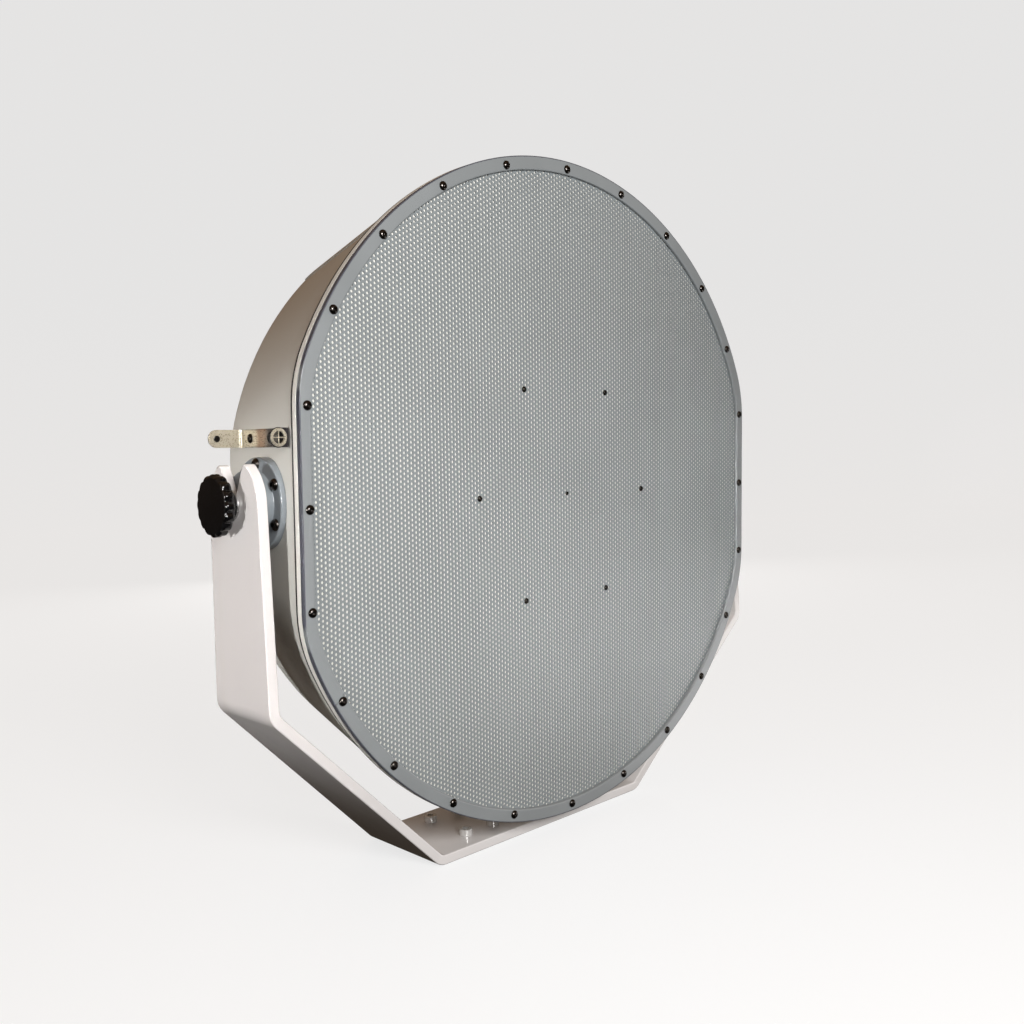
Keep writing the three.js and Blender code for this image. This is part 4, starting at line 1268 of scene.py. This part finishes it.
def camera():
    data = DATA.cameras.new("camera")
    data.lens = CAMERA_LENS
    data.sensor_width = CAMERA_SENSOR
    data.clip_start = 0.01
    eye = DATA.objects.new("camera", data)
    bpy.context.scene.collection.objects.link(eye)
    looks = Vector(CAMERA_LOOK)
    roll = Matrix.Rotation(CAMERA_ROLL, 4, "Z")
    eye.matrix_world = (Matrix.Translation(CAMERA_PLACE)
                        @ looks.to_track_quat("-Z", "Y").to_matrix().to_4x4() @ roll)
    bpy.context.scene.camera = eye


def lamp(name, place, target, size, power, colour=(1, 1, 1), spread=180):
    """A softbox. A small spread, in degrees, is a grid that keeps its light in a beam."""
    data = DATA.lights.new(name, "AREA")
    data.spread = math.radians(spread)
    data.shape = "RECTANGLE"
    data.size, data.size_y = size
    data.energy = power
    data.color = colour
    light = DATA.objects.new(name, data)
    bpy.context.scene.collection.objects.link(light)
    light.visible_camera = False
    light.location = place
    light.rotation_euler = (Vector(target) - Vector(place)).to_track_quat("-Z", "Y").to_euler()
    return light


def backdrop():
    """Pale floor that turns up into a plain wall far behind. It throws no light back at the object."""
    profile = [(0, 0)] + [(r, 0) for r in (1.5, 3, 5, 7, 9)] + arc((9, 3), 3, -90, 0, 8)[1:] + [(12, 11)]
    rings = [[(0, 0, 0)]] + [[(r * math.cos(TAU * i / 96), r * math.sin(TAU * i / 96), z) for i in range(96)]
                             for r, z in profile[1:]]
    verts, faces = bridge(rings)
    mesh = DATA.meshes.new("backdrop")
    mesh.from_pydata(verts, [], faces[:-1])
    mesh.flip_normals()
    mesh.shade_smooth()
    material, tree, shader = principled("backdrop_pale", (0.8, 0.8, 0.8), 0.85)
    tree.links.new(ramp(tree, noise(tree, 0.4, 2), (0.15, 0.15, 0.15), (0.16, 0.16, 0.16)),
                   shader.inputs["Base Color"])
    shader.inputs["Emission Color"].default_value = (1, 1, 1, 1)
    shader.inputs["Emission Strength"].default_value = 0.76
    material.cycles.emission_sampling = "NONE"
    mesh.materials.append(material)
    floor = DATA.objects.new("backdrop", mesh)
    bpy.context.scene.collection.objects.link(floor)
    floor.visible_diffuse = False
    floor.visible_glossy = False
    floor.visible_shadow = False


def surroundings():
    """A dim warm room: lighter overhead, dark below."""
    world = DATA.worlds.new("studio")
    bpy.context.scene.world = world
    world.use_nodes = True
    tree = world.node_tree
    place = tree.nodes.new("ShaderNodeTexCoord")
    split = tree.nodes.new("ShaderNodeSeparateXYZ")
    tree.links.new(place.outputs["Generated"], split.inputs["Vector"])
    colour = ramp(tree, split.outputs["Z"], (0.032, 0.026, 0.021), (0.27, 0.165, 0.09), -0.2, 0.8)
    tree.links.new(colour, tree.nodes["Background"].inputs["Color"])
    tree.nodes["Background"].inputs["Strength"].default_value = 1.0


def studio():
    bpy.context.scene.view_settings.view_transform = "Standard"
    backdrop()
    surroundings()
    middle = (0, 0, 0.45)
    lamp("key", (-0.76, -1.65, 0.9), (-0.05, 0, 0.5), (0.62, 0.5), 47)
    lamp("left_back", (-2.6, 1.3, 0.6), middle, (1.0, 1.4), 2.5, (1, 0.96, 0.92))
    rear_fill = lamp("rear_fill", (2.1, 2.6, 0.6), middle, (1.6, 1.6), 48, (1, 0.97, 0.94))
    rear_fill.visible_glossy = False
    lamp("side_beam", (-2.4, -0.55, 0.38), (-0.4, -0.02, 0.37), (0.7, 0.42), 0.8, spread=8)
    lamp("low_right", (1.25, -0.85, -0.12), (0.28, -0.12, 0.2), (0.9, 0.5), 4.5)


# ---------------------------------------------------------------- assembly

camera()
studio()
trim_ring()
perforated_sheet()
baffle_rim()
gasket_bead()
rear_shell()
front_screws()
for side_label, side_sign in (("left", -1), ("right", 1)):
    trunnion(side_label, side_sign)
    clamp(side_label, side_sign)
    carry_handle(side_label, side_sign)
sight()
back_cover()
inlet_connector()
yoke()
base_bolts()
dress_cad()
